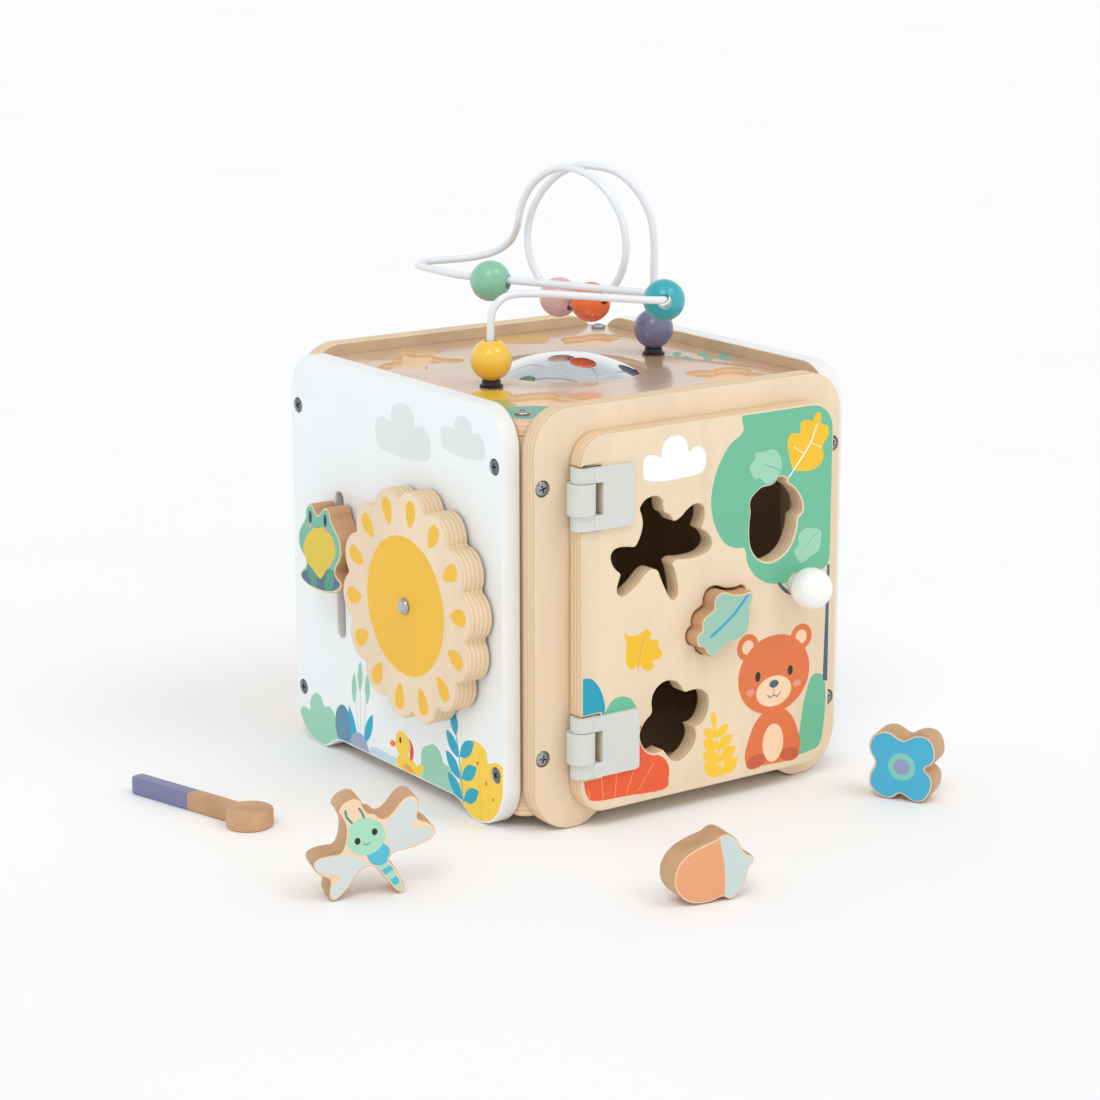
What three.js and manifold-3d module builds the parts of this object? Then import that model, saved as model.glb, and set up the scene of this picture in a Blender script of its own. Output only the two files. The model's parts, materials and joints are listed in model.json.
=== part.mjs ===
// Wooden activity cube and shape sorter, in millimetres, +Z up.
// The cube stands on the floor with its door towards -Y and the sun wheel towards -X.
import * as THREE from "three";
import { mergeVertices } from "three/addons/utils/BufferGeometryUtils.js";
import Module from "manifold-3d";

const wasm = await Module();
wasm.setup();

// ---- driving dimensions ---------------------------------------------------
const WIDTH = 250; // over the left and right panels
const DEPTH = 260; // over the front and back panels
const HEIGHT = 250; // floor to the top edge of the side panels
const PLY = 12; // panel thickness
const EDGE_FRONT = 112.5; // half width of the front and back panels
const EDGE_SIDE = 117.5; // half width of the left and right panels
const PANEL_TOP_R = 25;
const FOOT_R = 27;
const ARCH_Z = 9;
const TOP_Z0 = 233; // top panel, underside
const TOP_Z1 = 243; // top panel, upper face
const FLOOR_Z0 = 7.5;
const FLOOR_Z1 = 16;
const POST = 19.5; // corner post, square side
const DOOR = { x0: -88.3, x1: 97, z0: 11, z1: 234.5, y0: -130.6, y1: -142.4, r: 17 };
const OPENING = { x0: -75, x1: 83, z0: 28, z1: 217, r: 8 };
const HINGE = { x: -85.7, y: -138.4, r: 6.3, rMid: 8.4, pin: 1.8, half: 18.2, mid: 9.2 };
const HINGE_Z = [198.2, 51.4];
const KNOB = { x: 69.6, z: 126, r: 12.6 };
const BEAD_R = 12.5;
const BORE_R = 4.2;
const WIRE_R = 2.4;
const BLOCK_T = 18; // thickness of the sorting blocks
const SUN = { y: -39, z: 122, r: 66, lobes: 14, lobe: 15.2, x0: -126.6, x1: -141.6 };
const SLOT = { y: 61.5, z0: 76.8, z1: 169.5, w: 9.5 };
const FROG = { x0: -126.2, x1: -141.7, pinZ: 137 };
const MIRROR = { x: 2, y: 0, r: 50, z: 237 };
const COLLARS = [[-70.5, -25.5], [73, 5]];
const HEAD_R = 4.6; // screw head radius
const SHANK_R = 2;

// ---- materials ------------------------------------------------------------
const mats = {
  ply: { color: 0xeed9ba, roughness: 0.6, metalness: 0 },
  white: { color: 0xf8fbfb, roughness: 0.5, metalness: 0 },
  beech: { color: 0xcda073, roughness: 0.6, metalness: 0 },
  steel: { color: 0x9aa0a4, roughness: 0.35, metalness: 1 },
  mirror: { color: 0xe8eef0, roughness: 0.05, metalness: 1 },
  coat: { color: 0xf4f5f5, roughness: 0.35, metalness: 0 },
  black: { color: 0x18181a, roughness: 0.5, metalness: 0 },
  grey: { color: 0xd6dad5, roughness: 0.45, metalness: 0 },
  yellow: { color: 0xfacd55, roughness: 0.4, metalness: 0 },
  mint: { color: 0x96d0b2, roughness: 0.4, metalness: 0 },
  teal: { color: 0x3cafb9, roughness: 0.4, metalness: 0 },
  orange: { color: 0xf06e32, roughness: 0.4, metalness: 0 },
  pink: { color: 0xe1b4ac, roughness: 0.4, metalness: 0 },
  purple: { color: 0x807d9b, roughness: 0.4, metalness: 0 },
  bar: { color: 0xb9bfc4, roughness: 0.3, metalness: 1 },
};

const root = new THREE.Group();
root.name = "shape_sorter";

function add(name, geometry, mat) {
  const g = geometry.index ? geometry.toNonIndexed() : geometry;
  g.deleteAttribute("normal");
  if (g.getAttribute("uv")) g.deleteAttribute("uv");
  g.computeVertexNormals();
  const mesh = new THREE.Mesh(g, new THREE.MeshStandardMaterial({ ...mats[mat] }));
  mesh.name = name;
  root.add(mesh);
  return mesh;
}

// ---- solids ---------------------------------------------------------------
function solid(geo) {
  const g = geo.clone();
  g.deleteAttribute("normal");
  if (g.getAttribute("uv")) g.deleteAttribute("uv");
  const m = mergeVertices(g, 1e-4);
  return new wasm.Manifold(
    new wasm.Mesh({
      numProp: 3,
      vertProperties: new Float32Array(m.attributes.position.array),
      triVerts: new Uint32Array(m.index.array),
    }),
  );
}
function geometryOf(man) {
  const mesh = man.getMesh();
  const g = new THREE.BufferGeometry();
  g.setAttribute("position", new THREE.BufferAttribute(new Float32Array(mesh.vertProperties), 3));
  g.setIndex(new THREE.BufferAttribute(new Uint32Array(mesh.triVerts), 1));
  return g.toNonIndexed();
}
function cut(geo, ...tools) {
  let a = solid(geo);
  for (const t of tools) a = a.subtract(solid(t));
  return geometryOf(a);
}
function join(geo, ...more) {
  let a = solid(geo);
  for (const t of more) a = a.add(solid(t));
  return geometryOf(a);
}

// A plate drawn in u,v and thickened along n (u to the right and v up for someone facing it).
function plate(shape, origin, u, v, n, t) {
  const g = new THREE.ExtrudeGeometry(shape, { depth: t, bevelEnabled: false, curveSegments: 4 });
  const m = new THREE.Matrix4().makeBasis(
    new THREE.Vector3(...u), new THREE.Vector3(...v), new THREE.Vector3(...n));
  m.setPosition(...origin);
  return g.applyMatrix4(m);
}
const X = [1, 0, 0], Y = [0, 1, 0], Z = [0, 0, 1];
const NX = [-1, 0, 0], NY = [0, -1, 0];

function rod(r, a, b, seg = 16) {
  const from = new THREE.Vector3(...a), to = new THREE.Vector3(...b);
  const dir = to.clone().sub(from);
  const g = new THREE.CylinderGeometry(r, r, dir.length(), seg, 1);
  const q = new THREE.Quaternion().setFromUnitVectors(new THREE.Vector3(0, 1, 0), dir.clone().normalize());
  g.applyQuaternion(q);
  const mid = from.add(to).multiplyScalar(0.5);
  return g.translate(mid.x, mid.y, mid.z);
}
// A turned part: profile of [radius, height] pairs, its axis set along dir at pos.
function turned(profile, pos, dir, seg = 14) {
  const g = new THREE.LatheGeometry(profile.map((p) => new THREE.Vector2(p[0], p[1])), seg);
  const q = new THREE.Quaternion().setFromUnitVectors(
    new THREE.Vector3(0, 1, 0), new THREE.Vector3(...dir).normalize());
  g.applyQuaternion(q);
  return g.translate(...pos);
}
function box(x0, x1, y0, y1, z0, z1) {
  return new THREE.BoxGeometry(x1 - x0, y1 - y0, z1 - z0).translate(
    (x0 + x1) / 2, (y0 + y1) / 2, (z0 + z1) / 2);
}
function roundRect(x0, x1, z0, z1, r, path = new THREE.Shape()) {
  path.moveTo(x0 + r, z0);
  path.lineTo(x1 - r, z0);
  path.absarc(x1 - r, z0 + r, r, -Math.PI / 2, 0, false);
  path.lineTo(x1, z1 - r);
  path.absarc(x1 - r, z1 - r, r, 0, Math.PI / 2, false);
  path.lineTo(x0 + r, z1);
  path.absarc(x0 + r, z1 - r, r, Math.PI / 2, Math.PI, false);
  path.lineTo(x0, z0 + r);
  path.absarc(x0 + r, z0 + r, r, Math.PI, 1.5 * Math.PI, false);
  return path;
}
function circle(x, z, r, path = new THREE.Path()) {
  path.absarc(x, z, r, 0, 2 * Math.PI, false);
  return path;
}

// ---- outlines of the sorting shapes ----------------------------------------
// Smooth closed curve through the points, resampled to n points.
function smooth(points, n) {
  const c = new THREE.CatmullRomCurve3(
    points.map((p) => new THREE.Vector3(p[0], p[1], 0)), true, "centripetal");
  c.arcLengthDivisions = 800;
  return c.getSpacedPoints(n).slice(0, n).map((p) => [p.x, p.y]);
}
function area(pts) {
  let a = 0;
  pts.forEach((p, i) => {
    const q = pts[(i + 1) % pts.length];
    a += p[0] * q[1] - q[0] * p[1];
  });
  return a / 2;
}
// Moves an outline inwards (d > 0) along its own normals.
function inset(pts, d) {
  const s = area(pts) > 0 ? 1 : -1, n = pts.length;
  return pts.map((p, i) => {
    const a = pts[(i + n - 1) % n], b = pts[(i + 1) % n];
    const t = [b[0] - a[0], b[1] - a[1]], l = Math.hypot(...t);
    return [p[0] - (s * d * t[1]) / l, p[1] + (s * d * t[0]) / l];
  });
}
function centred(pts) {
  const xs = pts.map((p) => p[0]), ys = pts.map((p) => p[1]);
  const c = [(Math.min(...xs) + Math.max(...xs)) / 2, (Math.min(...ys) + Math.max(...ys)) / 2];
  return { c, pts: pts.map((p) => [p[0] - c[0], p[1] - c[1]]) };
}
function turn(pts, deg) {
  const a = (deg * Math.PI) / 180, c = Math.cos(a), s = Math.sin(a);
  return pts.map(([x, y]) => [x * c - y * s, x * s + y * c]);
}
function move(pts, dx, dy) {
  return pts.map(([x, y]) => [x + dx, y + dy]);
}
function shapeOf(pts) {
  return new THREE.Shape(pts.map((p) => new THREE.Vector2(p[0], p[1])));
}
function pathOf(pts) {
  return new THREE.Path(pts.map((p) => new THREE.Vector2(p[0], p[1])));
}

const DRAGONFLY = smooth([[-43.6, 191.9], [-38.9, 193.6], [-34.7, 193.5], [-31.1, 190.8], [-30.3, 186.2], [-29.0, 183.1],
  [-25.6, 181.1], [-22.1, 177.1], [-16.9, 179.0], [-12.6, 182.5], [-8.2, 184.8], [-3.8, 184.9], [-0.6, 182.4], [0.1, 178.2],
  [-0.9, 173.8], [-2.5, 170.1], [1.9, 166.9], [5.2, 162.5], [5.5, 158.6], [2.1, 155.2], [-4.6, 153.5], [-13.4, 153.3],
  [-20.8, 153.7], [-23.2, 151.6], [-21.7, 148.3], [-20.1, 142.2], [-19.1, 136.2], [-19.5, 131.7], [-22.2, 129.9],
  [-25.0, 131.9], [-28.6, 138.3], [-31.5, 144.5], [-33.9, 149.4], [-38.3, 150.7], [-42.5, 148.8], [-47.9, 143.8],
  [-54.1, 139.6], [-58.2, 137.7], [-61.8, 138.9], [-62.9, 142.2], [-61.8, 146.6], [-60.4, 151.0], [-63.4, 153.9],
  [-66.5, 158.2], [-67.3, 162.7], [-65.5, 165.7], [-61.2, 166.9], [-55.0, 166.4], [-50.4, 165.8], [-48.1, 168.2],
  [-45.8, 173.0], [-44.6, 178.6], [-45.5, 183.9], [-46.7, 187.8]], 60);
const ACORN = smooth([[54.8, 192.4], [58.1, 192.9], [61.1, 190.9], [61.8, 188.4], [66.9, 184.8], [71.7, 178.9], [73.9, 172.6],
  [73.3, 169.4], [70.0, 166.8], [69.1, 160.7], [67.0, 154.3], [63.2, 148.2], [56.7, 143.8], [49.2, 142.3], [42.6, 144.3],
  [37.6, 148.6], [34.5, 155.0], [33.7, 163.0], [34.2, 170.9], [34.6, 174.8], [34.0, 178.7], [35.0, 182.5], [38.5, 185.7],
  [42.5, 188.1], [48.3, 188.6], [52.4, 189.8]], 40);
const LEAF = smooth([[3.0, 131.6], [8.7, 132.7], [16.0, 130.2], [24.1, 129.6], [28.5, 130.2], [30.4, 127.6], [28.7, 121.6],
  [28.2, 113.8], [27.0, 107.3], [23.0, 103.3], [17.3, 101.0], [12.4, 100.4], [8.4, 98.5], [3.6, 95.3], [-0.4, 94.6],
  [-4.5, 97.3], [-6.2, 100.7], [-10.2, 102.2], [-12.1, 105.8], [-11.1, 109.6], [-8.0, 112.0], [-8.2, 115.7], [-6.4, 119.3],
  [-2.4, 121.5], [0.2, 123.2], [0.7, 127.7]], 40);
const FLOWER = smooth([[-24.4, 81.5], [-29.3, 81.1], [-33.7, 78.6], [-36.6, 74.6], [-37.5, 69.9], [-37.0, 65.3], [-37.9, 63.1],
  [-41.3, 60.4], [-44.2, 56.9], [-45.9, 52.7], [-45.4, 48.5], [-42.7, 43.5], [-39.2, 40.4], [-35.3, 39.0], [-31.9, 39.2],
  [-29.4, 40.0], [-27.4, 38.2], [-24.4, 34.3], [-20.9, 31.8], [-16.9, 31.2], [-12.5, 32.9], [-8.0, 36.6], [-5.1, 41.4],
  [-4.6, 45.1], [-5.7, 48.6], [-6.4, 50.0], [-3.7, 50.3], [-0.2, 51.7], [2.8, 55.3], [4.4, 60.0], [4.6, 64.5], [3.1, 68.5],
  [-0.5, 71.4], [-4.5, 72.7], [-9.5, 72.7], [-12.9, 72.5], [-14.7, 74.1], [-16.5, 76.8], [-19.5, 79.8]], 44);
const SHAPES = { dragonfly: DRAGONFLY, acorn: ACORN, flower: FLOWER };
const LEAF_HOLE = inset(LEAF, -1);

// ---- side panels ------------------------------------------------------------
function panelShape(half) {
  const s = new THREE.Shape(), h = HEIGHT, r = PANEL_TOP_R, f = FOOT_R;
  s.moveTo(-half, f);
  s.absarc(-half + f, f, f, Math.PI, 1.5 * Math.PI, false);
  s.lineTo(-half + f + 3.5, 0);
  s.bezierCurveTo(-half + f + 12, 0, -half + f + 18, ARCH_Z, -half + f + 28, ARCH_Z);
  s.lineTo(half - f - 28, ARCH_Z);
  s.bezierCurveTo(half - f - 18, ARCH_Z, half - f - 12, 0, half - f - 3.5, 0);
  s.lineTo(half - f, 0);
  s.absarc(half - f, f, f, -Math.PI / 2, 0, false);
  s.lineTo(half, h - r);
  s.absarc(half - r, h - r, r, 0, Math.PI / 2, false);
  s.lineTo(-half + r, h);
  s.absarc(-half + r, h - r, r, Math.PI / 2, Math.PI, false);
  return s;
}
// Screw positions on a panel, as u,v.
const FRONT_SCREWS = [[-106.4, 204.9], [106.4, 204.9], [-106.4, 45.5], [106.4, 45.5]];
const SIDE_SCREWS = [[-109.1, 216.2], [109.1, 216.2], [-109.1, 33.7], [109.1, 33.7]];
const TOP_SCREWS = [[-102, -104], [102, -104], [-102, 104], [102, 104]];

// Counterbore and clearance hole for a panel screw; p is on the outer face, n points out.
function screwCut(p, n, len = 34) {
  const at = (d) => p.map((c, i) => c + n[i] * d);
  return [rod(HEAD_R + 0.4, at(-2.2), at(1), 16), rod(SHANK_R + 0.3, at(-len), at(0), 10)];
}
function screw(name, p, n, sink = 2.1) {
  const r = HEAD_R, t = 2.6;
  add(name, turned([[0, -28], [SHANK_R * 0.35, -28], [SHANK_R, -25], [SHANK_R, -sink], [r - 0.3, -sink], [r, -sink + 0.4],
    [r, -sink + t * 0.45], [r * 0.72, -sink + t * 0.85], [r * 0.36, -sink + t], [0, -sink + t]], p, n, 9), "steel");
}

{
  const s = panelShape(EDGE_FRONT);
  s.holes.push(roundRect(OPENING.x0, OPENING.x1, OPENING.z0, OPENING.z1, OPENING.r, new THREE.Path()));
  let g = plate(s, [0, -118, 0], X, Z, NY, PLY);
  const tools = FRONT_SCREWS.flatMap(([u, v]) => screwCut([u, -130, v], NY));
  // shallow mortises for the two frame leaves
  for (const z of HINGE_Z) tools.push(box(-90.1, -72, -133, -127.3, z - 9.5, z + 9.5));
  add("front_panel", cut(g, ...tools), "ply");
  FRONT_SCREWS.forEach(([u, v], i) => screw(`front_screw_${i + 1}`, [u, -130, v], NY));
}
{
  const s = panelShape(EDGE_FRONT);
  const g = plate(s, [0, 118, 0], NX, Z, Y, PLY);
  add("back_panel", g, "ply");
}
{
  const s = panelShape(EDGE_SIDE);
  const slot = new THREE.Path(), w = SLOT.w / 2;
  slot.moveTo(-SLOT.y + w, SLOT.z0 + w);
  slot.lineTo(-SLOT.y + w, SLOT.z1 - w);
  slot.absarc(-SLOT.y, SLOT.z1 - w, w, 0, Math.PI, false);
  slot.lineTo(-SLOT.y - w, SLOT.z0 + w);
  slot.absarc(-SLOT.y, SLOT.z0 + w, w, Math.PI, 2 * Math.PI, false);
  s.holes.push(slot);
  s.holes.push(circle(-SUN.y, SUN.z, 3.4));
  const g = plate(s, [-113, 0, 0], NY, Z, NX, PLY);
  add("left_panel", cut(g, ...SIDE_SCREWS.flatMap(([u, v]) => screwCut([-125, u, v], NX))), "white");
  SIDE_SCREWS.forEach(([u, v], i) => screw(`left_screw_${i + 1}`, [-125, u, v], NX));
}
add("right_panel", plate(panelShape(EDGE_SIDE), [113, 0, 0], Y, Z, X, PLY), "white");

// ---- corner posts, floor and top -------------------------------------------
for (const [i, [sx, sy]] of [[-1, -1], [1, -1], [-1, 1], [1, 1]].entries()) {
  const cx = sx * 103, cy = sy * 108, h = POST / 2, r = 8;
  const s = new THREE.Shape();
  // square with the outer corner rounded
  const a = [[-h, -h], [h, -h]];
  s.moveTo(-h, -h);
  s.lineTo(h, -h);
  s.lineTo(h, h - r);
  s.absarc(h - r, h - r, r, 0, Math.PI / 2, false);
  s.lineTo(-h, h);
  s.closePath();
  let g = new THREE.ExtrudeGeometry(s, { depth: TOP_Z0 - FLOOR_Z1 - 0.2, bevelEnabled: false, curveSegments: 5 });
  const angle = Math.atan2(sy, sx) - Math.PI / 4;
  g.rotateZ(Math.round(angle / (Math.PI / 2)) * (Math.PI / 2));
  g.translate(cx, cy, FLOOR_Z1 + 0.1);
  const tools = [];
  if (sy < 0) for (const [u, v] of FRONT_SCREWS) if (u * sx > 0) tools.push(rod(SHANK_R + 0.3, [u, -130, v], [u, -101, v], 10));
  if (sx < 0) for (const [u, v] of SIDE_SCREWS) if (u * sy > 0) tools.push(rod(SHANK_R + 0.3, [-125, u, v], [-96, u, v], 10));
  tools.push(rod(SHANK_R + 0.3, [sx * 102, sy * 104, TOP_Z1], [sx * 102, sy * 104, TOP_Z1 - 29], 10));
  add(["post_front_left", "post_front_right", "post_back_left", "post_back_right"][i], cut(g, ...tools), "ply");
}
const INNER_X = 112.8, INNER_Y = 117.8;
add("floor_panel", plate(roundRect(-INNER_X, INNER_X, -INNER_Y, INNER_Y, 9), [0, 0, FLOOR_Z0], X, Y, Z, FLOOR_Z1 - FLOOR_Z0), "ply");

const POCKETS = [
  ["acorn", -65, -76, 35], ["dragonfly", -62, 76, -150], ["leaf", 72, 70, 160], ["flower", 68, -77, 20],
];
{
  const s = roundRect(-INNER_X, INNER_X, -INNER_Y, INNER_Y, 9);
  for (const [x, y] of COLLARS) s.holes.push(circle(x, y, WIRE_R + 0.45));
  const g = plate(s, [0, 0, TOP_Z0], X, Y, Z, TOP_Z1 - TOP_Z0);
  const tools = [rod(MIRROR.r, [MIRROR.x, MIRROR.y, MIRROR.z], [MIRROR.x, MIRROR.y, TOP_Z1 + 2], 40)];
  for (const [kind, x, y, deg] of POCKETS) {
    const base = kind === "leaf" ? LEAF_HOLE : SHAPES[kind];
    tools.push(plate(shapeOf(move(turn(centred(base).pts, deg), x, y)), [0, 0, TOP_Z1 - 4.5], X, Y, Z, 8));
  }
  for (const [x, y] of TOP_SCREWS) tools.push(rod(SHANK_R + 0.3, [x, y, TOP_Z0 - 2], [x, y, TOP_Z1 + 2], 10));
  add("top_panel", cut(g, ...tools), "ply");
  TOP_SCREWS.forEach(([x, y], i) => screw(`top_screw_${i + 1}`, [x, y, TOP_Z1], Z, -0.05));
}
{
  const rise = 14.4, rim = 0.5, r = MIRROR.r - 0.4, n = 9, profile = [[0, 0], [r, 0], [r, rim]];
  const R = (r * r + rise * rise) / (2 * rise);
  for (let i = 1; i < n; i++) {
    const x = (r * (n - i)) / n;
    profile.push([x, rim + Math.sqrt(R * R - x * x) - (R - rise)]);
  }
  profile.push([0, rim + rise]);
  add("mirror", turned(profile, [MIRROR.x, MIRROR.y, MIRROR.z + 0.05], Z, 40), "mirror");
}

// ---- bead wire ---------------------------------------------------------------
const LOOP = { c: [27, 25.2, 319.2], r: 42.6, angle: 0.22 };
const LD = [-Math.sin(LOOP.angle), Math.cos(LOOP.angle), 0]; // in the loop's plane, away from the door
const LN = [Math.cos(LOOP.angle), Math.sin(LOOP.angle), 0]; // across the loop's plane
function loopPoint(deg, off) {
  const a = (deg * Math.PI) / 180;
  return new THREE.Vector3(
    LOOP.c[0] + LD[0] * LOOP.r * Math.cos(a) + LN[0] * off,
    LOOP.c[1] + LD[1] * LOOP.r * Math.cos(a) + LN[1] * off,
    LOOP.c[2] + LOOP.r * Math.sin(a));
}
// Straight runs joined by true arcs at the corners.
function runs(list, spacing) {
  const out = [], P = list.map((p) => new THREE.Vector3(...p.p));
  out.push(P[0].clone());
  for (let i = 1; i < P.length - 1; i++) {
    const a = P[i - 1].clone().sub(P[i]).normalize(), b = P[i + 1].clone().sub(P[i]).normalize();
    const th = a.angleTo(b), r = list[i].r, t = r / Math.tan(th / 2);
    const c = P[i].clone().add(a.clone().add(b).normalize().multiplyScalar(r / Math.sin(th / 2)));
    const s = P[i].clone().addScaledVector(a, t), e = P[i].clone().addScaledVector(b, t);
    const v0 = s.clone().sub(c), v1 = e.clone().sub(c), sweep = v0.angleTo(v1);
    const axis = v0.clone().cross(v1).normalize(), n = Math.max(2, Math.ceil((sweep * r) / spacing));
    for (let k = 0; k <= n; k++) out.push(c.clone().add(v0.clone().applyAxisAngle(axis, (sweep * k) / n)));
  }
  out.push(P[P.length - 1].clone());
  return out;
}
const HAIRPIN = [[6.7, -93.9, 296.2], [29.7, -61.4, 293.6]]; // the run the teal bead is on
const MIDDLE = [-46, 47.5, 298.2]; // end of the run the mint bead is on
const wireStart = runs([
  { p: [...COLLARS[0], 236] },
  { p: [...COLLARS[0], 297.6], r: 15 },
  { p: [-45, -34.5, 298], r: 40 },
  { p: HAIRPIN[0], r: 9 },
  { p: HAIRPIN[1], r: 9 },
  { p: MIDDLE, r: 60 },
  { p: [-45.5, 106, 298.6], r: 15 },
  { p: [-8, 99.5, 299] },
], 3.2);
const smoothRun = (pts, n) => new THREE.CatmullRomCurve3(pts, false, "centripetal").getPoints(n);
const wirePath = [];
{
  // from the back run up into the loop, over it, round the bottom and over again to the far post
  const arc = [];
  const offset = (d) => {
    if (d < 90) return -6.5 + 0.5 * (d / 90);
    if (d < 220) return -6 + 6 * (0.5 - 0.5 * Math.cos((Math.PI * (d - 90)) / 130));
    if (d < 320) return 0;
    return 13 * (0.5 - 0.5 * Math.cos((Math.PI * Math.min(d - 320, 130)) / 130));
  };
  for (let d = 10; d <= 442; d += 6) arc.push(loopPoint(d, offset(d)));
  const up = smoothRun([
    wireStart[wireStart.length - 2].clone(), wireStart[wireStart.length - 1].clone(),
    new THREE.Vector3(2.5, 97, 299.9), new THREE.Vector3(11.5, 91, 303), new THREE.Vector3(14.2, 80, 309.5),
    new THREE.Vector3(13.3, 71, 317.5), arc[0].clone(), arc[1].clone()], 60);
  const i0 = up.findIndex((p) => p.distanceTo(wireStart[wireStart.length - 1]) < 1.2);
  const j0 = up.reduce((best, p, i) => (p.distanceTo(arc[0]) < up[best].distanceTo(arc[0]) ? i : best), 0);
  const down = smoothRun([
    arc[arc.length - 2].clone(), arc[arc.length - 1].clone(),
    new THREE.Vector3(54, 22, 358), new THREE.Vector3(64.5, 12.5, 346.5), new THREE.Vector3(71, 6.6, 330),
    new THREE.Vector3(73, 5, 312), new THREE.Vector3(73, 5, 300), new THREE.Vector3(73, 5, 280)], 60);
  const k0 = down.reduce((best, p, i) => (p.distanceTo(arc[arc.length - 1]) < down[best].distanceTo(arc[arc.length - 1]) ? i : best), 0);
  wirePath.push(...wireStart, ...up.slice(i0 + 1, j0), ...arc, ...down.slice(k0 + 1), new THREE.Vector3(73, 5, 236));
}
// Polyline thinned so that neighbouring points are at least gap apart.
function thin(pts, gap) {
  const out = [pts[0]];
  for (const p of pts.slice(1, -1)) if (p.distanceTo(out[out.length - 1]) > gap) out.push(p);
  out.push(pts[pts.length - 1]);
  return out;
}
// A round wire swept along the points with a frame carried along without twist.
function wire(pts, r, sides) {
  class Run extends THREE.Curve {
    getPoint(t, target = new THREE.Vector3()) {
      const f = t * (pts.length - 1), i = Math.min(Math.floor(f), pts.length - 2);
      return target.copy(pts[i]).lerp(pts[i + 1], f - i);
    }
    getPointAt(u, target) { return this.getPoint(u, target); }
    getSpacedPoints(n) {
      const out = [];
      for (let i = 0; i <= n; i++) out.push(this.getPoint(i / n));
      return out;
    }
    getTangentAt(u, target = new THREE.Vector3()) {
      const n = pts.length - 1, i = Math.round(u * n);
      const a = pts[Math.max(i - 1, 0)], b = pts[Math.min(i + 1, n)];
      const d1 = pts[i].clone().sub(a).normalize(), d2 = b.clone().sub(pts[i]).normalize();
      return target.copy(d1.add(d2)).normalize();
    }
  }
  const s = new THREE.Shape();
  for (let i = 0; i < sides; i++) {
    const a = (2 * Math.PI * i) / sides;
    i ? s.lineTo(r * Math.cos(a), r * Math.sin(a)) : s.moveTo(r * Math.cos(a), r * Math.sin(a));
  }
  return new THREE.ExtrudeGeometry(s, { steps: pts.length - 1, extrudePath: new Run(), bevelEnabled: false });
}
add("bead_wire", wire(thin(wirePath, 3.0), WIRE_R, 8), "coat");
COLLARS.forEach(([x, y], i) => {
  add(`wire_collar_${i + 1}`, turned([[WIRE_R + 0.25, 0], [7, 0], [7, 1.2], [5.6, 2], [5.6, 3.8], [5, 4.4], [WIRE_R + 0.25, 4.4], [WIRE_R + 0.25, 0]],
    [x, y, TOP_Z1 + 0.05], Z, 20), "black");
});

// ---- beads ---------------------------------------------------------------------
function bead(name, mat, pos, dir) {
  const a0 = Math.asin(BORE_R / BEAD_R), prof = [], n = 8;
  for (let i = 0; i <= n; i++) {
    const a = -Math.PI / 2 + a0 + ((Math.PI - 2 * a0) * i) / n;
    prof.push([BEAD_R * Math.cos(a), BEAD_R * Math.sin(a)]);
  }
  prof.push([BORE_R, BEAD_R * Math.cos(a0)].map((v, i) => (i ? v : BORE_R)));
  prof.pop();
  prof[0][0] = BORE_R; prof[n][0] = BORE_R;
  prof.push([...prof[0]]);
  add(name, turned(prof, pos, dir, 20), mat);
}
const BEAD_HALF = BEAD_R * Math.cos(Math.asin(BORE_R / BEAD_R)); // half length of the bore
bead("bead_yellow", "yellow", [...COLLARS[0], TOP_Z1 + 4.5 + BEAD_HALF], Z);
bead("bead_purple", "purple", [...COLLARS[1], TOP_Z1 + 4.5 + BEAD_HALF], Z);
{
  // the hung beads touch the wire with the top of the bore
  const a = new THREE.Vector3(...HAIRPIN[0]), b = new THREE.Vector3(...HAIRPIN[1]);
  const d = b.clone().sub(a).normalize(), m = a.clone().lerp(b, 0.5);
  bead("bead_teal", "teal", [m.x, m.y, m.z - 1.3], d.toArray());
  const c = new THREE.Vector3(...MIDDLE), e = c.clone().sub(b).normalize();
  const p = b.clone().addScaledVector(e, 111);
  bead("bead_mint", "mint", [p.x, p.y, p.z - 1.4], e.toArray());
  for (const [name, deg] of [["orange", 270 - 17.8], ["pink", 270 + 18.8]]) {
    const q = loopPoint(deg, 0), c0 = new THREE.Vector3(...LOOP.c);
    const out = q.clone().sub(c0).normalize();
    const dir = new THREE.Vector3(...LN).cross(out);
    q.addScaledVector(out, -0.6);
    bead(`bead_${name}`, name, q.toArray(), dir.toArray());
  }
}

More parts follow.
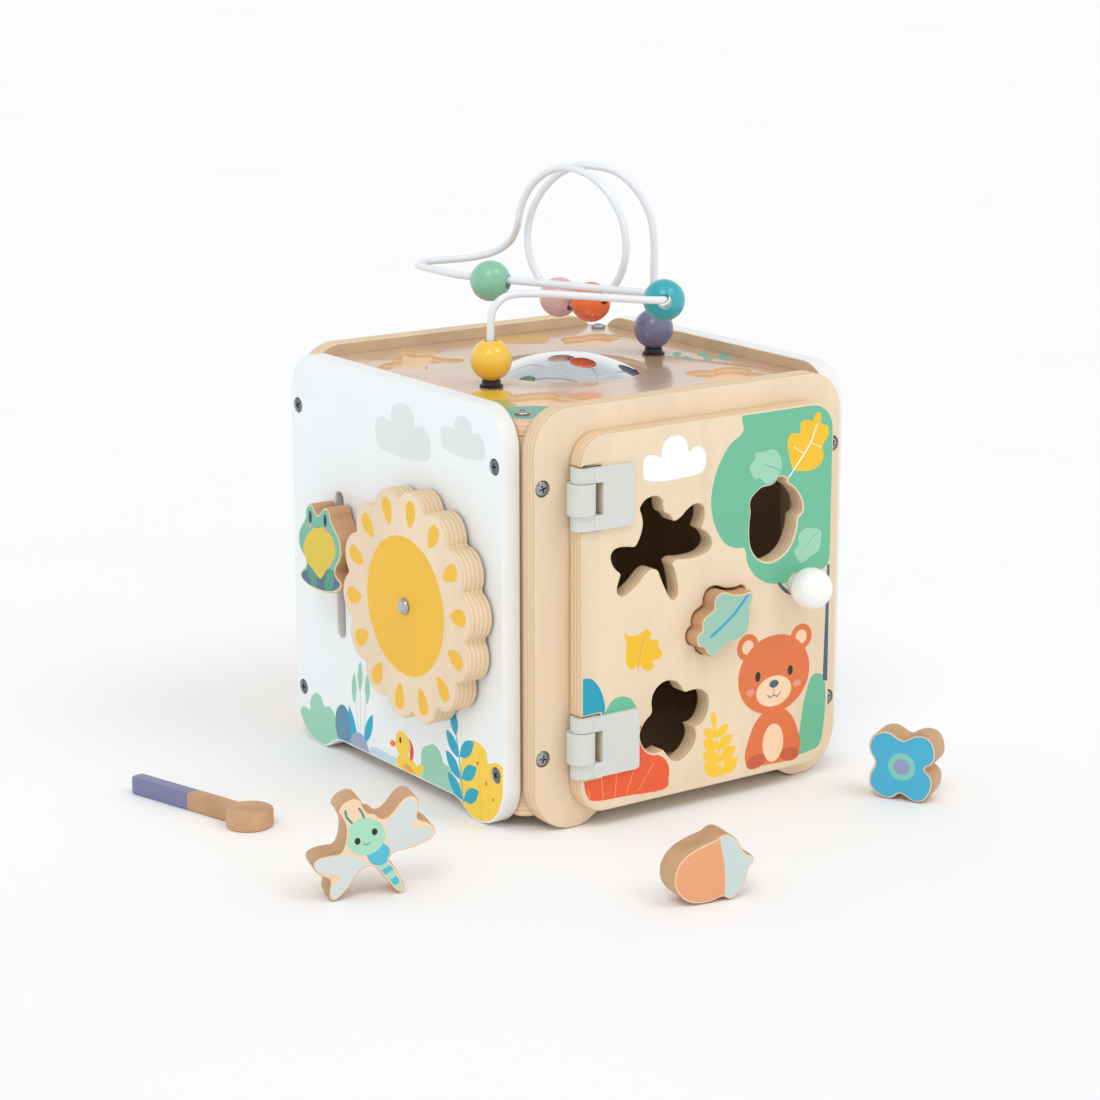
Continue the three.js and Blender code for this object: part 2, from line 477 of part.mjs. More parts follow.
// ---- door ------------------------------------------------------------------------
{
  const s = roundRect(DOOR.x0, DOOR.x1, DOOR.z0, DOOR.z1, DOOR.r);
  for (const k of ["dragonfly", "acorn", "flower"]) s.holes.push(pathOf(SHAPES[k]));
  s.holes.push(pathOf(LEAF_HOLE));
  const g = plate(s, [0, DOOR.y0, 0], X, Z, NY, DOOR.y0 - DOOR.y1);
  const tools = [];
  for (const z of HINGE_Z) tools.push(box(-99, -74.5, -150, -120, z - HINGE.half - 0.7, z + HINGE.half + 0.7));
  tools.push(rod(2.1, [KNOB.x, -120, KNOB.z], [KNOB.x, -150, KNOB.z], 12));
  tools.push(rod(4.7, [KNOB.x, -120, KNOB.z], [KNOB.x, DOOR.y0 - 2.9, KNOB.z], 14));
  add("door_panel", cut(g, ...tools), "ply");
}
HINGE_Z.forEach((z, i) => {
  const tag = i ? "lower" : "upper", x1 = i ? -48.4 : -52.7;
  const { x, y, r, rMid, pin, half, mid } = HINGE;
  // door leaf: face plate with two end knuckles wrapped round the pin
  const face = plate(roundRect(-81, x1, z - half, z + half, 2.2), [0, -142.5, 0], X, Z, NY, 2.5);
  const knuckle = (a, b) => rod(r, [x, y, a], [x, y, b], 20);
  const web = (a, b) => box(x, -76, y - r, y - 0.5, a, b);
  let leaf = join(face, knuckle(z + mid + 0.3, z + half), knuckle(z - half, z - mid - 0.3),
    web(z + mid + 0.3, z + half), web(z - half, z - mid - 0.3));
  leaf = cut(leaf, rod(pin + 0.25, [x, y, z - half - 1], [x, y, z + half + 1], 12),
    box(x - 12, x + rMid + 2.4, -160, -120, z - mid - 0.3, z + mid + 0.3));
  add(`hinge_${tag}_door_leaf`, leaf, "grey");
  // frame leaf: middle knuckle, neck and mortised plate
  const plateG = box(-89.9, -75.3, -129.9, -127.5, z - mid, z + mid);
  const neck = box(x - 4.2, x + 4.2, y, -128.5, z - mid, z + mid);
  const mg = cut(join(rod(rMid, [x, y, z - mid], [x, y, z + mid], 24), neck, plateG),
    rod(pin + 0.25, [x, y, z - mid - 1], [x, y, z + mid + 1], 12));
  add(`hinge_${tag}_frame_leaf`, mg, "grey");
  add(`hinge_${tag}_pin`, rod(pin, [x, y, z - half + 0.4], [x, y, z + half - 0.4], 12), "steel");
});
{
  const r = KNOB.r, cy = 14.3, prof = [[0, 0], [6.5, 0], [6.9, 2.4]], n = 8;
  const a0 = -Math.PI / 2 + Math.asin(7.6 / r);
  for (let i = 0; i < n; i++) {
    const a = a0 + ((Math.PI / 2 - a0) * i) / n;
    prof.push([r * Math.cos(a), cy + r * Math.sin(a)]);
  }
  prof.push([0, cy + r]);
  const g = turned(prof, [KNOB.x, DOOR.y1 - 0.1, KNOB.z], NY, 20);
  add("door_knob", cut(g, rod(1.9, [KNOB.x, DOOR.y1 + 5, KNOB.z], [KNOB.x, DOOR.y1 - 16, KNOB.z], 12)), "white");
  add("knob_screw", turned([[0, -23], [0.7, -23], [1.7, -20.5], [1.7, -1.6], [4.2, -1.6], [4.4, -1.2], [4.4, -0.2], [3.2, 0.5], [0, 0.8]],
    [KNOB.x, DOOR.y0 - 1.2, KNOB.z], Y, 12), "steel");
}

// ---- sun wheel -----------------------------------------------------------------------
{
  const pts = [], k = SUN.lobes;
  for (let i = 0; i < k; i++) {
    const b = (2 * Math.PI * i) / k + 0.1;
    const c = [55.2 * Math.cos(b), 55.2 * Math.sin(b)];
    for (let j = -3; j <= 3; j++) {
      const a = b + (j * 0.355);
      pts.push([c[0] + SUN.lobe * Math.cos(a), c[1] + SUN.lobe * Math.sin(a)]);
    }
  }
  const s = shapeOf(move(pts, -SUN.y, SUN.z));
  s.holes.push(circle(-SUN.y, SUN.z, 3.4));
  const g = plate(s, [SUN.x0, 0, 0], NY, Z, NX, SUN.x0 - SUN.x1);
  add("sun_wheel", g, "ply");
  add("sun_axle", turned([[0, -24], [2.9, -24], [2.9, 0.1], [4.9, 0.1], [5, 0.8], [4.2, 2.2], [2.4, 3.1], [0, 3.4]],
    [SUN.x1 - 0.2, SUN.y, SUN.z], NX, 18), "steel");
  add("sun_spacer", turned([[3.2, 0], [9, 0], [9, 1.2], [3.2, 1.2], [3.2, 0]], [-125.2, SUN.y, SUN.z], NX, 20), "black");
  add("sun_nut", turned([[3.2, 0], [6.5, 0], [6.5, 4], [3.2, 4], [3.2, 0]], [-112.8, SUN.y, SUN.z], X, 6), "steel");
}

// ---- frog slider ------------------------------------------------------------------------
{
  const FROG_OUT = smooth([[-68.7, 163.2], [-71.4, 162.0], [-73.3, 159.8], [-74.3, 157.3], [-74.1, 154.8], [-75.6, 152.2],
    [-79.0, 148.5], [-82.2, 144.1], [-83.4, 139.7], [-83.2, 136.0], [-81.5, 132.1], [-78.5, 129.2], [-75.9, 127.2],
    [-74.8, 124.9], [-75.9, 122.1], [-78.4, 120.4], [-80.9, 118.2], [-81.6, 115.2], [-79.6, 112.9], [-73.9, 110.8],
    [-65.9, 110.0], [-56.3, 110.0], [-47.5, 111.0], [-39.6, 113.1], [-34.8, 115.3], [-32.6, 117.7], [-32.6, 119.8],
    [-34.6, 121.6], [-38.0, 123.3], [-39.6, 125.6], [-38.6, 128.9], [-35.1, 133.0], [-32.6, 137.6], [-32.4, 142.3],
    [-33.8, 146.9], [-37.5, 151.2], [-41.2, 154.6], [-43.9, 158.2], [-44.7, 161.2], [-46.5, 163.6], [-49.5, 164.3],
    [-52.6, 163.4], [-55.2, 161.2], [-57.5, 158.9], [-60.6, 158.2], [-62.7, 159.1], [-64.0, 161.6], [-66.1, 163.0]], 44);
  const g = plate(shapeOf(FROG_OUT), [FROG.x0, 0, 0], NY, Z, NX, FROG.x0 - FROG.x1);
  add("frog_block", cut(g, rod(2.7, [FROG.x0 + 5, SLOT.y, FROG.pinZ], [FROG.x0 - 9, SLOT.y, FROG.pinZ], 14)), "beech");
  const pin = turned([[0, 0], [2.5, 0], [2.5, 9.0], [4.3, 9.0], [4.3, 21.8], [2.5, 21.8], [2.5, 25], [0, 25]],
    [FROG.x0 - 8.8, SLOT.y, FROG.pinZ], X, 18);
  add("frog_guide_pin", pin, "beech");
  add("frog_retainer", turned([[2.7, 0], [11, 0], [11, 3], [2.7, 3], [2.7, 0]], [-112.8, SLOT.y, FROG.pinZ], X, 24), "beech");
}

// ---- sorting blocks ---------------------------------------------------------------------
add("leaf_block", plate(shapeOf(move(LEAF, 0, -0.65)), [0, -133.2, 0], X, Z, NY, BLOCK_T), "beech");
// A block standing on the floor: the lowest point of its front face at foot, its face turned to face n.
function standing(name, outline, deg, foot, facing) {
  const pts = turn(centred(inset(outline, 1)).pts, deg);
  const low = pts.reduce((a, b) => (b[1] < a[1] ? b : a));
  const local = move(pts, -low[0], -low[1]);
  const a = (facing * Math.PI) / 180, n = [Math.cos(a), Math.sin(a), 0], u = [-n[1], n[0], 0];
  add(name, plate(shapeOf(local), [foot[0] - n[0] * BLOCK_T, foot[1] - n[1] * BLOCK_T, 0], u, Z, n, BLOCK_T), "beech");
}
standing("dragonfly_block", DRAGONFLY, 12.5, [-261.4, -152.8], -107);
standing("acorn_block", ACORN, -68.5, [-83.7, -275.4], -100.2);
standing("flower_block", FLOWER, 24.7, [107.6, -214.4], -150.7);

// ---- beater ---------------------------------------------------------------------------------
{
  const s = new THREE.Shape(), w = 5, r = 14, L = 95, a = Math.asin(w / r);
  s.moveTo(-2 + 4, -w);
  s.lineTo(L - r * Math.cos(a), -w);
  s.absarc(L, 0, r, Math.PI + a, 3 * Math.PI - a, false);
  s.lineTo(2, w);
  s.absarc(2, w - 4, 4, Math.PI / 2, Math.PI, false);
  s.absarc(2, -w + 4, 4, Math.PI, 1.5 * Math.PI, false);
  const d = [0.267, -0.9637, 0], n = [0.9637, 0.267, 0];
  add("beater", plate(s, [-262.1, 74, 0], d, n, Z, 10.5), "beech");
}

// ---- xylophone on the back ---------------------------------------------------------------------
{
  const rail = (name, z0, z1) => {
    const s = shapeOf([[-72, z0 - 5], [72, z1 - 5], [72, z1 + 5], [-72, z0 + 5]]);
    add(name, plate(s, [0, 130.15, 0], X.map((v) => -v), Z, Y, 9), "beech");
  };
  rail("xylophone_rail_upper", 124 + 43, 124 + 30);
  rail("xylophone_rail_lower", 124 - 43, 124 - 30);
  for (let i = 0; i < 5; i++) {
    const x = -56 + 28 * i, len = 152 - 11 * i;
    add(`xylophone_bar_${i + 1}`, plate(roundRect(-x - 11, -x + 11, 124 - len / 2, 124 + len / 2, 2.5),
      [0, 139.25, 0], NX.map((v) => v), Z, Y, 2.5), "bar");
  }
}

// ---- origin: middle of the footprint of everything, on the floor ---------------------------------
root.updateMatrixWorld(true);
const bounds = new THREE.Box3().setFromObject(root, true);
const mid = bounds.getCenter(new THREE.Vector3());
for (const m of root.children) m.geometry.translate(-mid.x, -mid.y, -bounds.min.z);

export default root;
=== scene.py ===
import json
import math

import bmesh
import bpy
import numpy as np
from mathutils import Matrix, Vector
from mathutils.geometry import delaunay_2d_cdt

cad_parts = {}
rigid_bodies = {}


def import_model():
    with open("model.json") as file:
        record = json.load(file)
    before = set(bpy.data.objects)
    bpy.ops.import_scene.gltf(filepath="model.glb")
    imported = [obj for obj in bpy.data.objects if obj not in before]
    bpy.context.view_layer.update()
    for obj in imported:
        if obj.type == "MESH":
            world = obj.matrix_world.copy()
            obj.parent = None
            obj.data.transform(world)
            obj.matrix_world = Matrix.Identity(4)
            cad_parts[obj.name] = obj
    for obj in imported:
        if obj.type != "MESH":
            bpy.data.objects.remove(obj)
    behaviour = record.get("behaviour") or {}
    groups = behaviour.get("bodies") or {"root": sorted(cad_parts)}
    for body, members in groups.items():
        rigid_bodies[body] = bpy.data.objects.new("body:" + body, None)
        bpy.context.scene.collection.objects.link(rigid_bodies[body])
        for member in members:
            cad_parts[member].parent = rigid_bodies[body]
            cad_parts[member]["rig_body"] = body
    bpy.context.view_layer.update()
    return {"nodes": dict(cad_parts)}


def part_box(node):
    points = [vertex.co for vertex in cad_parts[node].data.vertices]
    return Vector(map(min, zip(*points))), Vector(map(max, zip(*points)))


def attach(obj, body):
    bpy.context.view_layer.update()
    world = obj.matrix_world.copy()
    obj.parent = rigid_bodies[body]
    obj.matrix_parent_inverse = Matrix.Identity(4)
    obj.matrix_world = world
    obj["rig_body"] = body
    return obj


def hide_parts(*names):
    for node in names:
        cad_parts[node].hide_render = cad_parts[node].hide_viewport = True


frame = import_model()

BODY = {n: o["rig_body"] for n, o in frame["nodes"].items()}
_lo, _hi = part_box("front_panel")
SX, SY = _lo.x + 0.1125, _lo.y + 0.130  # cube axes to the row frame

# ---------------------------------------------------------------- dimensions, mm, cube axes
TOP_Z1 = 243.0
HINGE_Z = (198.2, 51.4)
SUN = dict(y=-39.0, z=122.0, x0=-126.6, x1=-141.6, lobes=14, lobe=15.2, cr=55.2)
SLOT = dict(y=61.5, z0=76.8, z1=169.5, w=9.5)
MIRROR = (2.0, 0.0)
COLLARS = ((-70.5, -25.5), (73.0, 5.0))
BEAD_R, BORE_R = 12.5, 4.2
X, Y, Z = (1, 0, 0), (0, 1, 0), (0, 0, 1)
NX, NY = (-1, 0, 0), (0, -1, 0)


def P3(p):
    return Vector((p[0] / 1000 + SX, p[1] / 1000 + SY, p[2] / 1000))


# ---------------------------------------------------------------- materials
def lin(c):
    out = []
    for v in c[:3]:
        v = v / 255
        out.append(v / 12.92 if v <= 0.04045 else ((v + 0.055) / 1.055) ** 2.4)
    return (*out, 1.0)


class M:
    """A node material built by hand on one Principled shader."""

    def __init__(self, name, rough=0.5, metal=0.0, coat=0.0, spec=0.5):
        self.m = bpy.data.materials.new(name)
        self.m.use_nodes = True
        self.n, self.l = self.m.node_tree.nodes, self.m.node_tree.links
        self.b = self.n["Principled BSDF"]
        self.b.inputs["Roughness"].default_value = rough
        self.b.inputs["Metallic"].default_value = metal
        self.b.inputs["Coat Weight"].default_value = coat
        self.b.inputs["Coat Roughness"].default_value = 0.12
        self.b.inputs["Specular IOR Level"].default_value = spec
        self.tc = self.n.new("ShaderNodeTexCoord")

    def noise(self, scale, stretch=(1, 1, 1), detail=4.0, rough=0.55, distort=0.0):
        mp = self.n.new("ShaderNodeMapping")
        mp.inputs["Scale"].default_value = stretch
        self.l.new(self.tc.outputs["Object"], mp.inputs["Vector"])
        t = self.n.new("ShaderNodeTexNoise")
        t.inputs["Scale"].default_value = scale
        t.inputs["Detail"].default_value = detail
        t.inputs["Roughness"].default_value = rough
        t.inputs["Distortion"].default_value = distort
        self.l.new(mp.outputs["Vector"], t.inputs["Vector"])
        return t.outputs["Fac"]

    def ramp(self, fac, stops, mode="LINEAR"):
        r = self.n.new("ShaderNodeValToRGB")
        r.color_ramp.interpolation = mode
        e = r.color_ramp.elements
        while len(e) < len(stops):
            e.new(0.5)
        for k, (p, c) in zip(e, stops):
            k.position, k.color = p, c
        self.l.new(fac, r.inputs["Fac"])
        return r.outputs["Color"]

    def math(self, op, a, b=None, c=None):
        m = self.n.new("ShaderNodeMath")
        m.operation = op
        for i, v in enumerate((a, b, c)):
            if v is None:
                continue
            if isinstance(v, (int, float)):
                m.inputs[i].default_value = v
            else:
                self.l.new(v, m.inputs[i])
        return m.outputs[0]

    def mix(self, fac, a, b, kind="MIX"):
        m = self.n.new("ShaderNodeMix")
        m.data_type, m.blend_type = "RGBA", kind
        for s, v in ((0, fac), (6, a), (7, b)):
            if isinstance(v, (int, float)):
                m.inputs[s].default_value = v
            elif isinstance(v, tuple):
                m.inputs[s].default_value = v
            else:
                self.l.new(v, m.inputs[s])
        return m.outputs[2]

    def color(self, c):
        self.l.new(c, self.b.inputs["Base Color"])

    def rough(self, fac, lo, hi):
        r = self.n.new("ShaderNodeMapRange")
        r.inputs["To Min"].default_value, r.inputs["To Max"].default_value = lo, hi
        self.l.new(fac, r.inputs["Value"])
        self.l.new(r.outputs["Result"], self.b.inputs["Roughness"])

    def bump(self, h, strength, dist=0.0003):
        b = self.n.new("ShaderNodeBump")
        b.inputs["Strength"].default_value = strength
        b.inputs["Distance"].default_value = dist
        self.l.new(h, b.inputs["Height"])
        self.l.new(b.outputs["Normal"], self.b.inputs["Normal"])


def scaled(c, k):
    return tuple(min(1.0, v * k) for v in c[:3]) + (1.0,)


def grain_of(axis, across, along):
    s = [across] * 3
    s[axis] = along
    return tuple(s)


def wood(name, base, axis=2, rough=(0.42, 0.6), contrast=0.10, coat=0.0):
    """Rotary-cut face veneer or solid beech: broad figure, fine fibres and short pores along one axis."""
    m, c = M(name, coat=coat), lin(base)
    figure = m.noise(1.0, grain_of(axis, 26, 3.2), detail=5, distort=0.7)
    fibre = m.noise(1.0, grain_of(axis, 900, 28), detail=3)
    pores = m.noise(1.0, grain_of(axis, 1500, 170), detail=1)
    tone = m.ramp(figure, [(0.30, scaled(c, 1 - contrast)), (0.52, c), (0.72, scaled(c, 1 + contrast * 0.5))])
    tone = m.mix(m.math("MULTIPLY", fibre, 0.30), tone, scaled(c, 1 - contrast * 1.4))
    spots = m.ramp(pores, [(0.66, (0, 0, 0, 1)), (0.76, (1, 1, 1, 1))])
    m.color(m.mix(m.math("MULTIPLY", spots, 0.16), tone, scaled(c, 0.55)))
    m.rough(fibre, *rough)
    m.bump(fibre, 0.16, 0.0002)
    return m.m


def plies(name, axis, light=(240, 216, 182), dark=(226, 197, 158), pitch=1.5, rough=(0.5, 0.7)):
    """The sanded edge of plywood: veneers that turn their grain from one to the next, with thin glue lines."""
    m = M(name)
    sep = m.n.new("ShaderNodeSeparateXYZ")
    m.l.new(m.tc.outputs["Object"], sep.inputs[0])
    wob = m.noise(40, detail=2)
    t = m.math("MULTIPLY_ADD", sep.outputs[axis], 1000.0 / (2 * pitch), m.math("MULTIPLY", wob, 0.10))
    f = m.math("FRACT", t)
    L, D = lin(light), lin(dark)
    band = m.ramp(f, [(0.0, scaled(D, 0.80)), (0.03, L), (0.47, L), (0.50, scaled(D, 0.80)), (0.53, D), (0.97, scaled(D, 1.03))])
    fine = m.noise(520, (1, 1, 1), detail=3)
    m.color(m.mix(m.math("MULTIPLY", fine, 0.28), band, scaled(D, 0.86)))
    m.rough(fine, *rough)
    m.bump(m.math("ADD", fine, m.math("MULTIPLY", f, 0.35)), 0.22, 0.0002)
    return m.m


def paint(name, rgb, rough=(0.34, 0.46), grain_axis=None, coat=0.0, vary=0.035):
    """Sprayed or printed paint over sanded wood: slight tone drift, orange peel, and the grain telegraphing through."""
    m, c = M(name, coat=coat), lin(rgb)
    cloud = m.noise(22, detail=3)
    m.color(m.ramp(cloud, [(0.3, scaled(c, 1 - vary)), (0.7, scaled(c, 1 + vary * 0.5))]))
    peel = m.noise(950, detail=2)
    h = peel
    if grain_axis is not None:
        h = m.math("ADD", peel, m.noise(1.0, grain_of(grain_axis, 800, 30), detail=3))
    m.rough(peel, *rough)
    m.bump(h, 0.07, 0.00015)
    return m.m


def metal(name, rgb, rough=(0.2, 0.38), brushed=None):
    m, c = M(name, metal=1.0), lin(rgb)
    n = m.noise(1.0, brushed or (700, 700, 700), detail=3)
    stain = m.noise(130, detail=3)
    m.color(m.ramp(stain, [(0.3, scaled(c, 0.86)), (0.7, c)]))
    m.rough(n, *rough)
    m.bump(n, 0.05, 0.0001)
    return m.m


def plastic(name, rgb, rough=(0.38, 0.52)):
    m, c = M(name), lin(rgb)
    n = m.noise(1400, detail=2)
    m.color(m.ramp(m.noise(60, detail=2), [(0.3, scaled(c, 0.965)), (0.7, c)]))
    m.rough(n, *rough)
    m.bump(n, 0.08, 0.0001)
    return m.m


def mirror_metal():
    m = M("mirror_metal", metal=1.0)
    haze = m.noise(9, detail=2)
    m.color(m.ramp(haze, [(0.35, lin((226, 230, 233))), (0.65, lin((231, 234, 237)))]))
    m.rough(haze, 0.004, 0.014)
    return m.m


PLY = (240, 218, 187)
mat = {
    "face_xz": wood("ply_face_front", PLY, 2),
    "face_top": wood("ply_face_top", (206, 172, 142), 0, rough=(0.16, 0.26), coat=0.35),
    "edge_x": plies("ply_edge_x", 0), "edge_y": plies("ply_edge_y", 1), "edge_z": plies("ply_edge_z", 2, light=(238, 212, 178), dark=(224, 194, 156)),
    "post": wood("post_wood", (228, 200, 164), 2, contrast=0.14),
    "white": paint("white_paint", (241, 246, 248), grain_axis=2, vary=0.012),
    "white_edge": paint("white_edge_paint", (240, 240, 238), grain_axis=1, vary=0.03),
    "inside": wood("ply_inside", (214, 186, 150), 2, contrast=0.12),
    "beech": wood("beech_side", (206, 162, 120), 2, contrast=0.30),
    "beech_face": wood("beech_face", (246, 212, 176), 2, contrast=0.07),
    "steel": metal("zinc_screw", (118, 124, 130)),
    "bolt": metal("bolt_steel", (190, 194, 198), rough=(0.16, 0.28)),
    # painted light: a lighter copy of the same zinc, used only for the front-face screws
    "steel_front_lit": metal("zinc_screw_painted_light", (166, 173, 178), rough=(0.2, 0.34)),
    "mirror": mirror_metal(),
    "coat": paint("wire_coating", (234, 238, 243), rough=(0.2, 0.3), vary=0.01),
    "black": plastic("black_plastic", (22, 22, 24)),
    "hinge": plastic("hinge_plastic", (214, 217, 211)),
    "knob": paint("knob_paint", (250, 250, 249), rough=(0.16, 0.26), coat=0.4, vary=0.01),
    "bar": metal("bar_metal", (200, 205, 210), brushed=(40, 40, 1400)),
    "b_yellow": paint("bead_yellow_paint", (246, 200, 70), rough=(0.2, 0.32), coat=0.3),
    "b_mint": paint("bead_mint_paint", (136, 198, 168), rough=(0.2, 0.32), coat=0.3),
    "b_teal": paint("bead_teal_paint", (45, 170, 182), rough=(0.2, 0.32), coat=0.3),
    "b_orange": paint("bead_orange_paint", (240, 106, 48), rough=(0.2, 0.32), coat=0.3),
    "b_pink": paint("bead_pink_paint", (226, 182, 174), rough=(0.2, 0.32), coat=0.3),
    "b_purple": paint("bead_purple_paint", (112, 114, 148), rough=(0.2, 0.32), coat=0.3),
    "handle": paint("handle_paint", (120, 120, 158), grain_axis=1),
    "bar1": paint("bar_paint_yellow", (247, 200, 60), coat=0.3), "bar2": paint("bar_paint_mint", (130, 203, 170), coat=0.3),
    "bar3": paint("bar_paint_teal", (45, 170, 190), coat=0.3), "bar4": paint("bar_paint_orange", (240, 110, 60), coat=0.3),
    "bar5": paint("bar_paint_pink", (226, 170, 170), coat=0.3),
}
INK = {
    "green": (108, 190, 152), "pale": (160, 213, 185), "yellow": (246, 194, 30), "teal": (0, 158, 186), "orange": (236, 88, 40),
    "streak": (250, 170, 50), "white": (252, 253, 252), "grey": (226, 233, 233), "blue": (88, 140, 170), "lilac": (155, 168, 200),
    "water": (196, 222, 232), "mint": (152, 210, 186), "cyan": (0, 168, 200), "slate": (72, 98, 122), "fern": (248, 202, 48),
    "fur": (228, 118, 64), "fur2": (205, 92, 60), "cream": (250, 214, 176), "dark": (32, 34, 40), "frog": (108, 188, 162), "frog2": (70, 150, 130),
    "belly": (224, 197, 56), "pad": (75, 105, 135), "rose": (240, 150, 130), "sun": (243, 190, 42), "vein": (45, 165, 205),
    "leafg": (155, 200, 180), "wing": (212, 219, 217), "body": (168, 220, 190), "bluea": (80, 188, 212), "acorn": (232, 163, 116),
    "cap": (200, 216, 212), "fblue": (66, 178, 214), "ring": (125, 205, 185), "mid": (146, 154, 194), "dots": (130, 140, 200),
    "olive": (176, 176, 90), "ochre": (214, 170, 96), "tteal": (110, 176, 156), "torange": (236, 160, 128), "tyellow": (226, 186, 56), "tpink": (222, 130, 128),
    "red": (226, 70, 60), "beak": (238, 120, 50), "duck": (250, 212, 62),
}
_ink = {}


def ink(k):
    if k not in _ink:
        _ink[k] = paint("ink_" + k, INK[k], rough=(0.36, 0.5), grain_axis=2, vary=0.03)
    return _ink[k]


# ---------------------------------------------------------------- outlines
def smooth(points, per=6, closed=True):
    """Centripetal Catmull-Rom curve through the points."""
    pts = [np.array(p, float) for p in points]
    n, out = len(pts), []
    get = (lambda i: pts[i % n]) if closed else (lambda i: pts[max(0, min(n - 1, i))] if 0 <= i < n else (2 * pts[0] - pts[1] if i < 0 else 2 * pts[-1] - pts[-2]))
    for i in range(n if closed else n - 1):
        p0, p1, p2, p3 = get(i - 1), get(i), get(i + 1), get(i + 2)
        d0, d1, d2 = (max(np.linalg.norm(b - a) ** 0.5, 1e-4) for a, b in ((p0, p1), (p1, p2), (p2, p3)))
        t1 = ((p1 - p0) / d0 - (p2 - p0) / (d0 + d1) + (p2 - p1) / d1) * d1
        t2 = ((p2 - p1) / d1 - (p3 - p1) / (d1 + d2) + (p3 - p2) / d2) * d1
        for k in range(per):
            t = k / per
            out.append(p1 + t1 * t + (-3 * p1 + 3 * p2 - 2 * t1 - t2) * t * t + (2 * p1 - 2 * p2 + t1 + t2) * t**3)
    if not closed:
        out.append(pts[-1])
    return [tuple(map(float, p)) for p in out]


def area(p):
    return sum(a[0] * b[1] - b[0] * a[1] for a, b in zip(p, p[1:] + p[:1])) / 2


def ccw(p):
    return list(p) if area(p) > 0 else list(reversed(p))


def inset(p, d):
    p, n, out = ccw(p), len(p), []
    for i in range(n):
        a, b = p[i - 1], p[(i + 1) % n]
        t = (b[0] - a[0], b[1] - a[1])
        k = math.hypot(*t) or 1
        out.append((p[i][0] - d * t[1] / k, p[i][1] + d * t[0] / k))
    return out


def move(p, dx, dy):
    return [(x + dx, y + dy) for x, y in p]


def turn(p, deg):
    c, s = math.cos(math.radians(deg)), math.sin(math.radians(deg))
    return [(x * c - y * s, x * s + y * c) for x, y in p]


def centred(p):
    xs, ys = [q[0] for q in p], [q[1] for q in p]
    return move(p, -(min(xs) + max(xs)) / 2, -(min(ys) + max(ys)) / 2)


def arc(cx, cy, r, a0, a1, n=14):
    return [(cx + r * math.cos(math.radians(a0 + (a1 - a0) * i / n)), cy + r * math.sin(math.radians(a0 + (a1 - a0) * i / n))) for i in range(n + 1)]


def circle(cx, cy, r, n=48):
    return arc(cx, cy, r, 0, 360 * (n - 1) / n, n - 1)


def ellipse(cx, cy, a, b, deg=0, n=40):
    return move(turn([(a * math.cos(2 * math.pi * i / n), b * math.sin(2 * math.pi * i / n)) for i in range(n)], deg), cx, cy)


def rrect(x0, x1, z0, z1, r, n=14):
    return arc(x1 - r, z0 + r, r, -90, 0, n) + arc(x1 - r, z1 - r, r, 0, 90, n) + arc(x0 + r, z1 - r, r, 90, 180, n) + arc(x0 + r, z0 + r, r, 180, 270, n)


def drop(cx, cy, a, b, deg, n=36):
    """A pointed petal: round at one end and drawn to a point at the other."""
    p = []
    for i in range(n):
        t = 2 * math.pi * i / n
        p.append((a * math.cos(t), b * math.sin(t) * (1 + 0.34 * math.cos(t))))
    return move(turn(p, deg), cx, cy)


def petal(x0, y0, x1, y1, w, n=14):
    """A leaf shape with two pointed ends."""
    L, a = math.hypot(x1 - x0, y1 - y0), math.degrees(math.atan2(y1 - y0, x1 - x0))
    up = [(L * i / n, w / 2 * math.sin(math.pi * i / n) ** 0.8) for i in range(n + 1)]
    return move(turn(up + [(x, -y) for x, y in reversed(up[1:-1])], a), x0, y0)


def stroke(pts, w):
    """A line of width w with tapering ends, as a closed outline."""
    p = smooth(pts, 6, closed=False) if len(pts) > 2 else [tuple(pts[0]), tuple(pts[1])]
    l, r = [], []
    for i, q in enumerate(p):
        a, b = p[max(i - 1, 0)], p[min(i + 1, len(p) - 1)]
        t = (b[0] - a[0], b[1] - a[1])
        k = math.hypot(*t) or 1
        h = w / 2 * (0.55 if i in (0, len(p) - 1) else 1)
        l.append((q[0] - h * t[1] / k, q[1] + h * t[0] / k))
        r.append((q[0] + h * t[1] / k, q[1] - h * t[0] / k))
    return l + r[::-1]


# ---------------------------------------------------------------- mesh makers
def link(name, me, body, mats, sharp=32):
    for m in mats:
        me.materials.append(m)
    me.shade_smooth()
    me.set_sharp_from_angle(angle=math.radians(sharp))
    o = bpy.data.objects.new(name, me)
    bpy.context.scene.collection.objects.link(o)
    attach(o, body)
    return o


def basis(origin, u, v, n):
    o = P3(origin)
    return Matrix(((u[0], v[0], n[0], o.x), (u[1], v[1], n[1], o.y), (u[2], v[2], n[2], o.z), (0, 0, 0, 1)))


